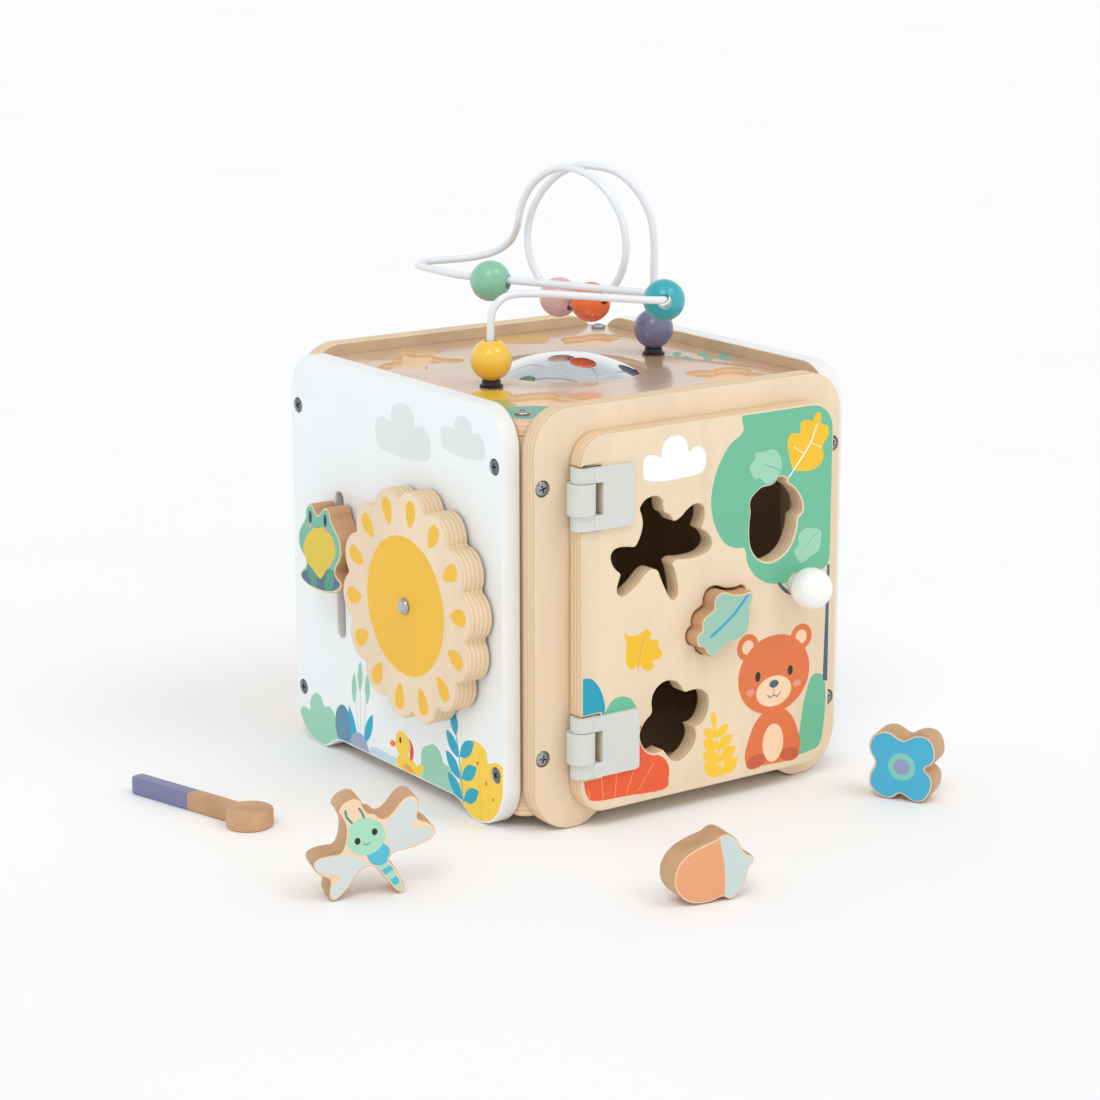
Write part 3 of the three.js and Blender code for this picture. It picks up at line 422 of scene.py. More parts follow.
def plate_mesh(outer, holes, t, bevel):
    """A plate in its own u,v plane, 0..t thick, with softened edges on both faces."""
    cu = bpy.data.curves.new("c", "CURVE")
    cu.dimensions, cu.fill_mode = "2D", "BOTH"
    cu.extrude, cu.bevel_depth, cu.offset, cu.bevel_resolution = (t / 2 - bevel) / 1000, bevel / 1000, -bevel / 1000, 2
    for k, ring in enumerate([ccw(outer)] + [list(reversed(ccw(h))) for h in holes]):
        s = cu.splines.new("POLY")
        s.points.add(len(ring) - 1)
        for q, p in zip(ring, s.points):
            p.co = (q[0] / 1000, q[1] / 1000, 0, 1)
        s.use_cyclic_u = True
    ob = bpy.data.objects.new("c", cu)
    bpy.context.scene.collection.objects.link(ob)
    dg = bpy.context.evaluated_depsgraph_get()
    me = bpy.data.meshes.new_from_object(ob.evaluated_get(dg))
    bpy.data.objects.remove(ob)
    bpy.data.curves.remove(cu)
    me.materials.clear()
    me.transform(Matrix.Translation((0, 0, t / 2000)))
    bm = bmesh.new()
    bm.from_mesh(me)
    bmesh.ops.remove_doubles(bm, verts=bm.verts, dist=2e-6)
    bmesh.ops.recalc_face_normals(bm, faces=bm.faces)
    bm.to_mesh(me)
    bm.free()
    return me


def by_normal(me, n, limit=0.93):
    """Slot 0 on the faces that look along +n, 1 on the edges, 2 on the faces that look along -n."""
    n = Vector(n).normalized()
    for p in me.polygons:
        d = p.normal.dot(n)
        p.material_index = 0 if d > limit else (2 if d < -limit else 1)


def cut(me, cutters):
    """Takes the closed cutter meshes out of a mesh."""
    bm = bmesh.new()
    for c in cutters:
        bm.from_mesh(c)
    tool = bpy.data.meshes.new("tool")
    bm.to_mesh(tool)
    bm.free()
    a, b = bpy.data.objects.new("a", me), bpy.data.objects.new("b", tool)
    for o in (a, b):
        bpy.context.scene.collection.objects.link(o)
    md = a.modifiers.new("cut", "BOOLEAN")
    md.operation, md.object, md.solver = "DIFFERENCE", b, "EXACT"
    dg = bpy.context.evaluated_depsgraph_get()
    out = bpy.data.meshes.new_from_object(a.evaluated_get(dg))
    for o in (a, b):
        bpy.data.objects.remove(o)
    out.materials.clear()
    return out


def block(x0, x1, y0, y1, z0, z1):
    a, b = P3((x0, y0, z0)), P3((x1, y1, z1))
    bm = bmesh.new()
    bmesh.ops.create_cube(bm, size=1)
    for v in bm.verts:
        v.co = Vector((a[i] if v.co[i] < 0 else b[i] for i in range(3)))
    me = bpy.data.meshes.new("box")
    bm.to_mesh(me)
    bm.free()
    return me


def lathe_mesh(prof, pos, direction, seg=56):
    """A turned part: (radius, height) pairs round direction at pos. First equals last for a ring."""
    ring = len(prof) > 2 and prof[0] == prof[-1]
    if ring:
        prof = prof[:-1]
    d = Vector(direction).normalized()
    q = Vector((0, 0, 1)).rotation_difference(d)
    base = P3(pos)
    bm, rows = bmesh.new(), []
    for r, h in prof:
        if r < 1e-6:
            rows.append([bm.verts.new(base + q @ Vector((0, 0, h / 1000)))])
        else:
            rows.append([bm.verts.new(base + q @ Vector((r / 1000 * math.cos(2 * math.pi * i / seg), r / 1000 * math.sin(2 * math.pi * i / seg), h / 1000))) for i in range(seg)])
    pairs = list(zip(rows, rows[1:])) + ([(rows[-1], rows[0])] if ring else [])
    for a, b in pairs:
        for i in range(seg):
            j = (i + 1) % seg
            if len(a) == 1 and len(b) == 1:
                continue
            if len(a) == 1:
                bm.faces.new((a[0], b[j], b[i]))
            elif len(b) == 1:
                bm.faces.new((a[i], a[j], b[0]))
            else:
                bm.faces.new((a[i], a[j], b[j], b[i]))
    bmesh.ops.recalc_face_normals(bm, faces=bm.faces)
    me = bpy.data.meshes.new("lathe")
    bm.to_mesh(me)
    bm.free()
    return me


def lathe(name, prof, pos, direction, m, body, seg=56, node=None, sharp=32):
    o = link(name, lathe_mesh(prof, pos, direction, seg), body, [m], sharp)
    if node:
        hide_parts(node)
    return o


def rod_mesh(r, a, b, seg=24):
    d = Vector(b) - Vector(a)
    return lathe_mesh([(0, 0), (r, 0), (r, d.length), (0, d.length)], a, d, seg)


def printed(name, outer, holes, arts, matrix, body, t=0.06, sunk=0.02):
    """Printed colour on a flat face: one thin closed skin per panel, cut where its colours meet and where the panel is cut."""
    polys = [ccw(outer)] + [ccw(h) for h in holes] + [ccw(a[1]) for a in arts]
    verts, faces = [], []
    for p in polys:
        faces.append(list(range(len(verts), len(verts) + len(p))))
        verts += [Vector(q) for q in p]
    V, E, F, ov, oe, of_ = delaunay_2d_cdt(verts, [], faces, 0, 1e-4, True)
    nh = len(holes)
    kept = []
    for f, ids in zip(F, of_):
        ids = set(ids)
        if 0 not in ids or any(1 <= i <= nh for i in ids):
            continue
        top = max((i for i in ids if i > nh), default=None)
        if top is not None:
            c = [V[i] for i in f]
            if abs((c[1] - c[0]).cross(c[2] - c[0])) > 1e-7:
                kept.append((f if (c[1] - c[0]).cross(c[2] - c[0]) > 0 else list(reversed(f)), arts[top - nh - 1][0]))
    keys = sorted({k for _, k in kept})
    bm, up, dn = bmesh.new(), {}, {}

    def vert(store, i, z):
        if i not in store:
            store[i] = bm.verts.new(matrix @ Vector((V[i][0] / 1000, V[i][1] / 1000, z / 1000)))
        return store[i]

    edges = {}
    for f, k in kept:
        for a, b in zip(f, f[1:] + f[:1]):
            edges[(a, b)] = k
        bm.faces.new([vert(up, i, t) for i in f]).material_index = keys.index(k)
        bm.faces.new([vert(dn, i, -sunk) for i in reversed(f)]).material_index = keys.index(k)
    for (a, b), k in edges.items():
        if (b, a) not in edges:
            bm.faces.new((up[b], up[a], dn[a], dn[b])).material_index = keys.index(k)
    me = bpy.data.meshes.new(name)
    bm.to_mesh(me)
    bm.free()
    for k in keys:
        me.materials.append(ink(k))
    o = bpy.data.objects.new(name, me)
    bpy.context.scene.collection.objects.link(o)
    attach(o, body)
    return o


def detail(node, m, bevel=0.4, seg=2, slotname=None):
    """A CAD node that stays: welded, its corners softened, and given its material."""
    o = frame["nodes"][node]
    w = o.modifiers.new("weld", "WELD")
    w.merge_threshold = 1e-6
    if bevel:
        b = o.modifiers.new("soften", "BEVEL")
        b.width, b.segments, b.limit_method, b.angle_limit = bevel / 1000, seg, "ANGLE", math.radians(34)
        b.harden_normals = False
    o.data.materials.clear()
    o.data.materials.append(m)
    return o


# ---------------------------------------------------------------- shapes shared with the solids
DRAGONFLY = smooth([[-43.6, 191.9], [-38.9, 193.6], [-34.7, 193.5], [-31.1, 190.8], [-30.3, 186.2], [-29.0, 183.1], [-25.6, 181.1], [-22.1, 177.1], [-16.9, 179.0], [-12.6, 182.5], [-8.2, 184.8], [-3.8, 184.9], [-0.6, 182.4], [0.1, 178.2], [-0.9, 173.8], [-2.5, 170.1], [1.9, 166.9], [5.2, 162.5], [5.5, 158.6], [2.1, 155.2], [-4.6, 153.5], [-13.4, 153.3], [-20.8, 153.7], [-23.2, 151.6], [-21.7, 148.3], [-20.1, 142.2], [-19.1, 136.2], [-19.5, 131.7], [-22.2, 129.9], [-25.0, 131.9], [-28.6, 138.3], [-31.5, 144.5], [-33.9, 149.4], [-38.3, 150.7], [-42.5, 148.8], [-47.9, 143.8], [-54.1, 139.6], [-58.2, 137.7], [-61.8, 138.9], [-62.9, 142.2], [-61.8, 146.6], [-60.4, 151.0], [-63.4, 153.9], [-66.5, 158.2], [-67.3, 162.7], [-65.5, 165.7], [-61.2, 166.9], [-55.0, 166.4], [-50.4, 165.8], [-48.1, 168.2], [-45.8, 173.0], [-44.6, 178.6], [-45.5, 183.9], [-46.7, 187.8]])
ACORN = smooth([[54.8, 192.4], [58.1, 192.9], [61.1, 190.9], [61.8, 188.4], [66.9, 184.8], [71.7, 178.9], [73.9, 172.6], [73.3, 169.4], [70.0, 166.8], [69.1, 160.7], [67.0, 154.3], [63.2, 148.2], [56.7, 143.8], [49.2, 142.3], [42.6, 144.3], [37.6, 148.6], [34.5, 155.0], [33.7, 163.0], [34.2, 170.9], [34.6, 174.8], [34.0, 178.7], [35.0, 182.5], [38.5, 185.7], [42.5, 188.1], [48.3, 188.6], [52.4, 189.8]])
LEAF = smooth([[3.0, 131.6], [8.7, 132.7], [16.0, 130.2], [24.1, 129.6], [28.5, 130.2], [30.4, 127.6], [28.7, 121.6], [28.2, 113.8], [27.0, 107.3], [23.0, 103.3], [17.3, 101.0], [12.4, 100.4], [8.4, 98.5], [3.6, 95.3], [-0.4, 94.6], [-4.5, 97.3], [-6.2, 100.7], [-10.2, 102.2], [-12.1, 105.8], [-11.1, 109.6], [-8.0, 112.0], [-8.2, 115.7], [-6.4, 119.3], [-2.4, 121.5], [0.2, 123.2], [0.7, 127.7]])
FLOWER = smooth([[-24.4, 81.5], [-29.3, 81.1], [-33.7, 78.6], [-36.6, 74.6], [-37.5, 69.9], [-37.0, 65.3], [-37.9, 63.1], [-41.3, 60.4], [-44.2, 56.9], [-45.9, 52.7], [-45.4, 48.5], [-42.7, 43.5], [-39.2, 40.4], [-35.3, 39.0], [-31.9, 39.2], [-29.4, 40.0], [-27.4, 38.2], [-24.4, 34.3], [-20.9, 31.8], [-16.9, 31.2], [-12.5, 32.9], [-8.0, 36.6], [-5.1, 41.4], [-4.6, 45.1], [-5.7, 48.6], [-6.4, 50.0], [-3.7, 50.3], [-0.2, 51.7], [2.8, 55.3], [4.4, 60.0], [4.6, 64.5], [3.1, 68.5], [-0.5, 71.4], [-4.5, 72.7], [-9.5, 72.7], [-12.9, 72.5], [-14.7, 74.1], [-16.5, 76.8], [-19.5, 79.8]])
FROG = smooth([[-68.7, 163.2], [-71.4, 162.0], [-73.3, 159.8], [-74.3, 157.3], [-74.1, 154.8], [-75.6, 152.2], [-79.0, 148.5], [-82.2, 144.1], [-83.4, 139.7], [-83.2, 136.0], [-81.5, 132.1], [-78.5, 129.2], [-75.9, 127.2], [-74.8, 124.9], [-75.9, 122.1], [-78.4, 120.4], [-80.9, 118.2], [-81.6, 115.2], [-79.6, 112.9], [-73.9, 110.8], [-65.9, 110.0], [-56.3, 110.0], [-47.5, 111.0], [-39.6, 113.1], [-34.8, 115.3], [-32.6, 117.7], [-32.6, 119.8], [-34.6, 121.6], [-38.0, 123.3], [-39.6, 125.6], [-38.6, 128.9], [-35.1, 133.0], [-32.6, 137.6], [-32.4, 142.3], [-33.8, 146.9], [-37.5, 151.2], [-41.2, 154.6], [-43.9, 158.2], [-44.7, 161.2], [-46.5, 163.6], [-49.5, 164.3], [-52.6, 163.4], [-55.2, 161.2], [-57.5, 158.9], [-60.6, 158.2], [-62.7, 159.1], [-64.0, 161.6], [-66.1, 163.0]])
LEAF_HOLE = inset(LEAF, -1)
WIRE = [[-70.5,-25.5,236],[-70.5,-25.5,282.82],[-69.44,-25.87,288.51],[-66.43,-26.94,293.35],[-61.91,-28.53,296.61],[-56.56,-30.42,297.82],[-52.22,-32.07,297.88],[-47.01,-34.82,297.9],[-42.25,-38.32,297.86],[-38.06,-42.47,297.76],[-0.8,-85.28,296.46],[3.74,-88.09,296.23],[9.06,-87.83,295.85],[13.29,-84.59,295.46],[26.05,-66.56,294.01],[27.7,-61.39,293.77],[26.09,-56.2,293.82],[-35.1,31.82,297.54],[-36.8,34.4,297.64],[-38.35,37.05,297.74],[-39.77,39.79,297.83],[-41.05,42.59,297.92],[-42.18,45.46,297.99],[-43.17,48.38,298.06],[-44,51.34,298.13],[-44.68,54.35,298.18],[-45.21,57.39,298.23],[-45.57,60.45,298.27],[-45.78,63.52,298.31],[-45.84,66.6,298.33],[-45.65,88.33,298.48],[-44.5,93.96,298.53],[-41.32,98.74,298.6],[-36.58,101.98,298.68],[-30.97,103.2,298.75],[-8,99.5,299],[-4.72,98.89,299.15],[-1.08,98.16,299.39],[2.34,97.07,299.87],[5.86,95.41,300.67],[9.17,93.32,301.73],[11.7,90.71,303.16],[13.23,87.05,305.17],[13.76,84.31,306.72],[14.07,81.6,308.39],[14.25,78.06,310.97],[13.96,74.79,313.7],[13.44,71.79,316.63],[12.86,69.13,319.74],[12.11,66.71,323.09],[11.58,64.91,326.2],[11.81,63.76,330.94],[12.16,62.35,335.16],[12.6,60.52,339.2],[13.13,58.29,343.02],[13.75,55.68,346.58],[14.45,52.72,349.84],[15.22,49.44,352.77],[16.04,45.88,355.33],[16.93,42.08,357.49],[17.86,38.09,359.23],[18.82,33.93,360.53],[19.81,29.67,361.39],[20.81,25.34,361.77],[21.81,20.99,361.7],[22.84,16.69,361.15],[23.92,12.48,360.15],[25.03,8.41,358.7],[26.15,4.52,356.81],[27.28,0.85,354.52],[28.38,-2.55,351.83],[29.46,-5.65,348.79],[30.49,-8.42,345.43],[31.46,-10.82,341.77],[32.36,-12.84,337.87],[33.16,-14.44,333.77],[33.86,-15.62,329.51],[34.45,-16.36,325.13],[34.91,-16.66,320.69],[35.23,-16.5,316.23],[35.42,-15.91,311.8],[35.46,-14.87,307.46],[35.35,-13.41,303.24],[35.09,-11.53,299.2],[34.68,-9.27,295.38],[34.12,-6.65,291.82],[33.46,-3.68,288.56],[32.72,-0.4,285.63],[31.93,3.17,283.07],[31.08,6.98,280.91],[30.18,10.98,279.17],[29.25,15.14,277.87],[28.29,19.41,277.01],[27.32,23.75,276.63],[26.35,28.1,276.7],[25.39,32.42,277.25],[24.44,36.66,278.25],[23.52,40.77,279.7],[22.64,44.72,281.59],[21.8,48.45,283.88],[21.02,51.92,286.57],[20.31,55.11,289.61],[19.68,57.96,292.97],[19.23,60.48,296.63],[19,62.65,300.53],[18.99,64.43,304.63],[19.19,65.81,308.89],[19.6,66.77,313.27],[20.2,67.31,317.71],[20.99,67.4,322.17],[21.94,67.06,326.6],[23.04,66.28,330.94],[24.26,65.06,335.16],[25.59,63.43,339.2],[27,61.39,343.02],[28.47,58.97,346.58],[29.97,56.19,349.84],[31.47,53.07,352.77],[32.96,49.66,355.33],[34.4,45.99,357.49],[35.78,42.09,359.23],[37.08,38.01,360.53],[38.27,33.8,361.39],[41.57,30.68,361.19],[45.63,27.81,360.63],[49.99,24.91,359.63],[53.77,22.18,358.13],[56.64,19.76,356.13],[59.25,17.4,353.64],[61.63,15.18,350.77],[63.78,13.16,347.65],[65.74,11.37,344.31],[67.5,9.77,340.61],[69.02,8.38,336.67],[70.31,7.22,332.62],[71.33,6.31,328.55],[72.03,5.72,324.3],[72.49,5.37,319.95],[72.79,5.15,315.69],[73.01,4.99,311.78],[73.11,4.91,307.56],[73.04,4.97,303.55],[73,5,298.81],[73,5,294.37],[73,5,289.63],[73,5,284.77],[73,5,280],[73,5,236]]


def bez(p0, p1, p2, p3, n=12):
    return [tuple((1 - t) ** 3 * a + 3 * (1 - t) ** 2 * t * b + 3 * (1 - t) * t * t * c + t**3 * d for a, b, c, d in zip(p0, p1, p2, p3)) for t in (i / n for i in range(n + 1))]


def panel_outline(half, h=250.0, r=25.0, f=27.0, az=9.0):
    p = arc(-half + f, f, f, 180, 270) + bez((-half + f + 3.5, 0), (-half + f + 12, 0), (-half + f + 18, az), (-half + f + 28, az))
    p += bez((half - f - 28, az), (half - f - 18, az), (half - f - 12, 0), (half - f - 3.5, 0)) + arc(half - f, f, f, -90, 0)
    p += arc(half - r, h - r, r, 0, 90) + arc(-half + r, h - r, r, 90, 180)
    out = []
    for q in p:
        if not out or math.hypot(q[0] - out[-1][0], q[1] - out[-1][1]) > 0.02:
            out.append(q)
    return out


FRONT_SCREWS = [(-106.4, 204.9), (106.4, 204.9), (-106.4, 45.5), (106.4, 45.5)]
SIDE_SCREWS = [(-109.1, 216.2), (109.1, 216.2), (-109.1, 33.7), (109.1, 33.7)]
TOP_SCREWS = [(-102, -104), (102, -104), (-102, 104), (102, 104)]


def counterbore(p, n):
    at = lambda d: tuple(p[i] + n[i] * d for i in range(3))
    return [rod_mesh(5.0, at(-2.2), at(1)), rod_mesh(2.3, at(-9), at(-2.0), 16)]


# ---------------------------------------------------------------- panels
def panel(name, half, holes, origin, u, n, face, edge, back, cuts, node):
    me = plate_mesh(panel_outline(half), holes, 12.0, 1.1)
    me.transform(basis(origin, u, Z, n))
    if cuts:
        me = cut(me, cuts)
    by_normal(me, n)
    o = link(name, me, "case", [face, edge, back])
    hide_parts(node)
    return o


cuts = [c for u, v in FRONT_SCREWS for c in counterbore((u, -130, v), NY)]
cuts += [block(-90.1, -72, -133, -127.3, z - 9.5, z + 9.5) for z in HINGE_Z]
panel("panel_front", 112.5, [rrect(-75, 83, 28, 217, 8)], (0, -118, 0), X, NY, mat["face_xz"], mat["edge_y"], mat["inside"], cuts, "front_panel")
panel("panel_back", 112.5, [], (0, 118, 0), NX, Y, mat["face_xz"], mat["edge_y"], mat["inside"], [c for u, v in FRONT_SCREWS for c in counterbore((u, 130, v), Y)], "back_panel")
s_, w_ = SLOT, SLOT["w"] / 2
slot_hole = arc(-s_["y"], s_["z1"] - w_, w_, 0, 180) + arc(-s_["y"], s_["z0"] + w_, w_, 180, 360)
side_cuts = [c for u, v in SIDE_SCREWS for c in counterbore((-125, u, v), NX)]
panel("panel_left", 117.5, [slot_hole, circle(-SUN["y"], SUN["z"], 3.4)], (-113, 0, 0), NY, NX, mat["white"], mat["white_edge"], mat["inside"], side_cuts, "left_panel")
panel("panel_right", 117.5, [], (113, 0, 0), Y, X, mat["white"], mat["white_edge"], mat["inside"], [c for u, v in SIDE_SCREWS for c in counterbore((125, u, v), X)], "right_panel")

for tag, sx, sy in (("front_left", -1, -1), ("front_right", 1, -1), ("back_left", -1, 1), ("back_right", 1, 1)):
    h, r = 9.75, 8.0
    q = [(-h, -h), (h, -h)] + arc(h - r, h - r, r, 0, 90) + [(-h, h)]
    me = plate_mesh([(x * sx, y * sy) for x, y in q], [], 216.8, 0.5)
    me.transform(basis((sx * 103, sy * 108, 16.1), X, Y, Z))
    by_normal(me, Z)
    o = link("post_" + tag + "_wood", me, "case", [mat["edge_z"], mat["post"], mat["edge_z"]])
    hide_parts("post_" + tag)

me = plate_mesh(rrect(-112.8, 112.8, -117.8, 117.8, 9), [], 8.5, 0.6)
me.transform(basis((0, 0, 7.5), X, Y, Z))
by_normal(me, Z)
o = link("floor_board", me, "case", [mat["inside"], mat["edge_z"], mat["inside"]])
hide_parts("floor_panel")

POCKETS = [(ACORN, -65, -76, 35), (DRAGONFLY, -62, 76, -150), (LEAF_HOLE, 72, 70, 160), (FLOWER, 68, -77, 20)]
pockets = [move(turn(centred(s), d), x, y) for s, x, y, d in POCKETS]
me = plate_mesh(rrect(-112.8, 112.8, -117.8, 117.8, 9), [circle(x, y, 2.85, 24) for x, y in COLLARS], 10.0, 0.6)
me.transform(basis((0, 0, 233), X, Y, Z))
tools = [rod_mesh(50.0, (*MIRROR, 237), (*MIRROR, 245), 96)]
for p in pockets:
    c = plate_mesh(p, [], 8.0, 0.02)
    c.transform(basis((0, 0, 238.5), X, Y, Z))
    tools.append(c)
me = cut(me, tools)
by_normal(me, Z)
for p in me.polygons:
    if p.material_index == 0 and p.center.z < 0.2425:
        p.material_index = 3
o = link("top_board", me, "case", [mat["face_top"], mat["edge_z"], mat["inside"], mat["beech_face"]])
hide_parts("top_panel")

rise, rim, R0 = 14.35, 0.5, 49.58
RR = (R0 * R0 + rise * rise) / (2 * rise)
prof = [(0, 0), (R0, 0), (R0, rim)] + [(R0 * (24 - i) / 24, rim + math.sqrt(RR * RR - (R0 * (24 - i) / 24) ** 2) - (RR - rise)) for i in range(1, 24)] + [(0, rim + rise)]
o = lathe("mirror_dome", prof, (*MIRROR, 237.05), Z, mat["mirror"], "case", 128, "mirror")

# ---------------------------------------------------------------- wire, collars and beads
line = smooth(WIRE, 4, closed=False)
cu = bpy.data.curves.new("wire", "CURVE")
cu.dimensions, cu.bevel_depth, cu.bevel_resolution, cu.use_fill_caps = "3D", 0.0023, 6, True
s = cu.splines.new("POLY")
s.points.add(len(line) - 1)
for q, p in zip(line, s.points):
    p.co = (*P3(q), 1)
tmp = bpy.data.objects.new("wire", cu)
bpy.context.scene.collection.objects.link(tmp)
me = bpy.data.meshes.new_from_object(tmp.evaluated_get(bpy.context.evaluated_depsgraph_get()))
bpy.data.objects.remove(tmp)
me.materials.clear()
bm = bmesh.new()
bm.from_mesh(me)
bmesh.ops.remove_doubles(bm, verts=bm.verts, dist=1e-6)
bmesh.ops.recalc_face_normals(bm, faces=bm.faces)
bm.to_mesh(me)
bm.free()
o = link("wire_run", me, "case", [mat["coat"]], 60)
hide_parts("bead_wire")
for i, (x, y) in enumerate(COLLARS):
    p = [(2.65, 0), (6.8, 0), (7, 0.25), (7, 1.0), (6.8, 1.2), (5.9, 1.6), (5.6, 2.1), (5.6, 3.6), (5.3, 4.1), (4.9, 4.4), (2.65, 4.4), (2.65, 0)]
    lathe(f"collar_{i + 1}", p, (x, y, TOP_Z1 + 0.05), Z, mat["black"], "case", 56, f"wire_collar_{i + 1}")


def bead(colour):
    node = "bead_" + colour
    co = np.array([v.co for v in frame["nodes"][node].data.vertices], float)
    c = (co.min(0) + co.max(0)) / 2
    d = Vector(AXES[colour]).normalized()
    half = BEAD_R * math.cos(math.asin(BORE_R / BEAD_R))
    a0 = math.asin(BORE_R / BEAD_R)
    prof = [(BORE_R, -half + 0.35)] + [(BEAD_R * math.cos(-math.pi / 2 + a0 + (math.pi - 2 * a0) * k / 28), BEAD_R * math.sin(-math.pi / 2 + a0 + (math.pi - 2 * a0) * k / 28)) for k in range(1, 28)]
    prof = [(BORE_R, -half + 0.3), (BORE_R + 0.5, -half + 0.02)] + prof[2:-1] + [(BORE_R + 0.5, half - 0.02), (BORE_R, half - 0.3), (BORE_R, -half + 0.3)]
    q = ((c[0] - SX) * 1000, (c[1] - SY) * 1000, c[2] * 1000)
    o = lathe("painted_bead_" + colour, prof, q, d, mat["b_" + colour], BODY[node], 64, node, 50)


A_ = 0.22
LN = (math.cos(A_), math.sin(A_), 0)
LD = (-math.sin(A_), math.cos(A_), 0)


def loop_dir(deg):
    a = math.radians(deg)
    out = Vector((LD[0] * math.cos(a), LD[1] * math.cos(a), math.sin(a)))
    return tuple(Vector(LN).cross(out))


AXES = {
    "yellow": Z, "purple": Z, "teal": (29.7 - 6.7, -61.4 + 93.9, 293.6 - 296.2), "mint": (-46 - 29.7, 47.5 + 61.4, 298.2 - 293.6),
    "orange": loop_dir(270 - 17.8), "pink": loop_dir(270 + 18.8),
}
for k in AXES:
    bead(k)

# ---------------------------------------------------------------- screws
HEAD = [(0, -9), (2.0, -9), (2.0, -2.1), (4.2, -2.1), (4.5, -1.95), (4.6, -1.6), (4.6, -1.0), (4.45, -0.7), (3.6, -0.1), (2.6, 0.25), (1.4, 0.44), (0, 0.5)]
_screw = {}


def screw(name, p, n, node=None, sink=0.0, twist=0.0, m="steel"):
    """A pan head with its cross recess cut in."""
    head = lathe_mesh([(r, h + sink) for r, h in HEAD], (0, 0, 0), Z, 44)
    off = P3((0, 0, 0))
    head.transform(Matrix.Translation(-off))
    bm = bmesh.new()
    for k in range(2):
        g = bmesh.ops.create_cube(bm, size=1)
        for v in g["verts"]:
            low = v.co.z < 0
            v.co = Vector((v.co.x * (0.0036 if low else 0.0054), v.co.y * (0.0008 if low else 0.0011), (sink - 1.5 if low else sink + 1.5) / 1000))
            v.co = Matrix.Rotation(math.radians(twist + 90 * k), 3, "Z") @ v.co
    tool = bpy.data.meshes.new("recess")
    bm.to_mesh(tool)
    bm.free()
    # the two bars are taken out one after the other, so that they never meet as one tool
    halves = []
    for k in range(2):
        b2 = bmesh.new()
        b2.from_mesh(tool)
        b2.verts.ensure_lookup_table()
        bmesh.ops.delete(b2, geom=[v for v in b2.verts if (v.index < 8) == bool(k)], context="VERTS")
        part = bpy.data.meshes.new("bar")
        b2.to_mesh(part)
        b2.free()
        halves.append(part)
    for part in halves:
        head = cut(head, [part])
    d = Vector(n).normalized()
    q = Vector((0, 0, 1)).rotation_difference(d).to_matrix().to_4x4()
    head.transform(Matrix.Translation(P3(p)) @ q)
    o = link(name, head, "case", [mat[m]])
    if node:
        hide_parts(node)
    return o


for i, (u, v) in enumerate(FRONT_SCREWS):
    # the front screws take the lighter zinc copy, which is painted light
    screw(f"screw_front_{i + 1}", (u, -130, v), NY, f"front_screw_{i + 1}", -0.1, 17 + 31 * i, "steel_front_lit")
    screw(f"screw_back_{i + 1}", (u, 130, v), Y, None, -0.1, 40 + 23 * i)
for i, (u, v) in enumerate(SIDE_SCREWS):
    screw(f"screw_left_{i + 1}", (-125, u, v), NX, f"left_screw_{i + 1}", -0.1, 9 + 27 * i)
    screw(f"screw_right_{i + 1}", (125, u, v), X, None, -0.1, 55 + 19 * i)
for i, (x, y) in enumerate(TOP_SCREWS):
    screw(f"screw_top_{i + 1}", (x, y, TOP_Z1), Z, f"top_screw_{i + 1}", 2.12, 12 + 33 * i, "bolt")

# ---------------------------------------------------------------- door
notch = lambda z: [(-88.3, z + 18.9), (-74.5, z + 18.9), (-74.5, z - 18.9), (-88.3, z - 18.9)]
door_out = arc(97 - 17, 28, 17, -90, 0) + arc(97 - 17, 217.5, 17, 0, 90) + arc(-88.3 + 17, 217.5, 17, 90, 180) + notch(HINGE_Z[0]) + notch(HINGE_Z[1]) + arc(-88.3 + 17, 28, 17, 180, 270)
holes = [DRAGONFLY, ACORN, FLOWER, LEAF_HOLE]
me = plate_mesh(door_out, holes + [circle(69.6, 126, 2.1, 24)], 11.8, 1.0)
me.transform(basis((0, -130.6, 0), X, Z, NY))
me = cut(me, [rod_mesh(4.7, (69.6, -120, 126), (69.6, -133.5, 126), 40)])
by_normal(me, NY)
o = link("door_board", me, "door", [mat["face_xz"], mat["edge_y"], mat["inside"]])
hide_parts("door_panel")
for h in ("upper", "lower"):
    detail(f"hinge_{h}_door_leaf", mat["hinge"], 0.55, 3)
    detail(f"hinge_{h}_frame_leaf", mat["hinge"], 0.45, 3)
    detail(f"hinge_{h}_pin", mat["bolt"], 0.15)
kr, kc = 12.6, 14.3
a0 = -math.pi / 2 + math.asin(7.6 / kr)
prof = [(1.95, 2.0), (1.95, 0), (6.2, 0), (6.5, 0.3), (6.9, 2.4)] + [(kr * math.cos(a0 + (math.pi / 2 - a0) * i / 30), kc + kr * math.sin(a0 + (math.pi / 2 - a0) * i / 30)) for i in range(30)] + [(0, kc + kr)]
prof = [(0, 2.0)] + prof
o = lathe("door_knob_ball", prof, (69.6, -142.5, 126), NY, mat["knob"], "door", 72, "door_knob", 40)
detail("knob_screw", mat["steel"], 0.15)

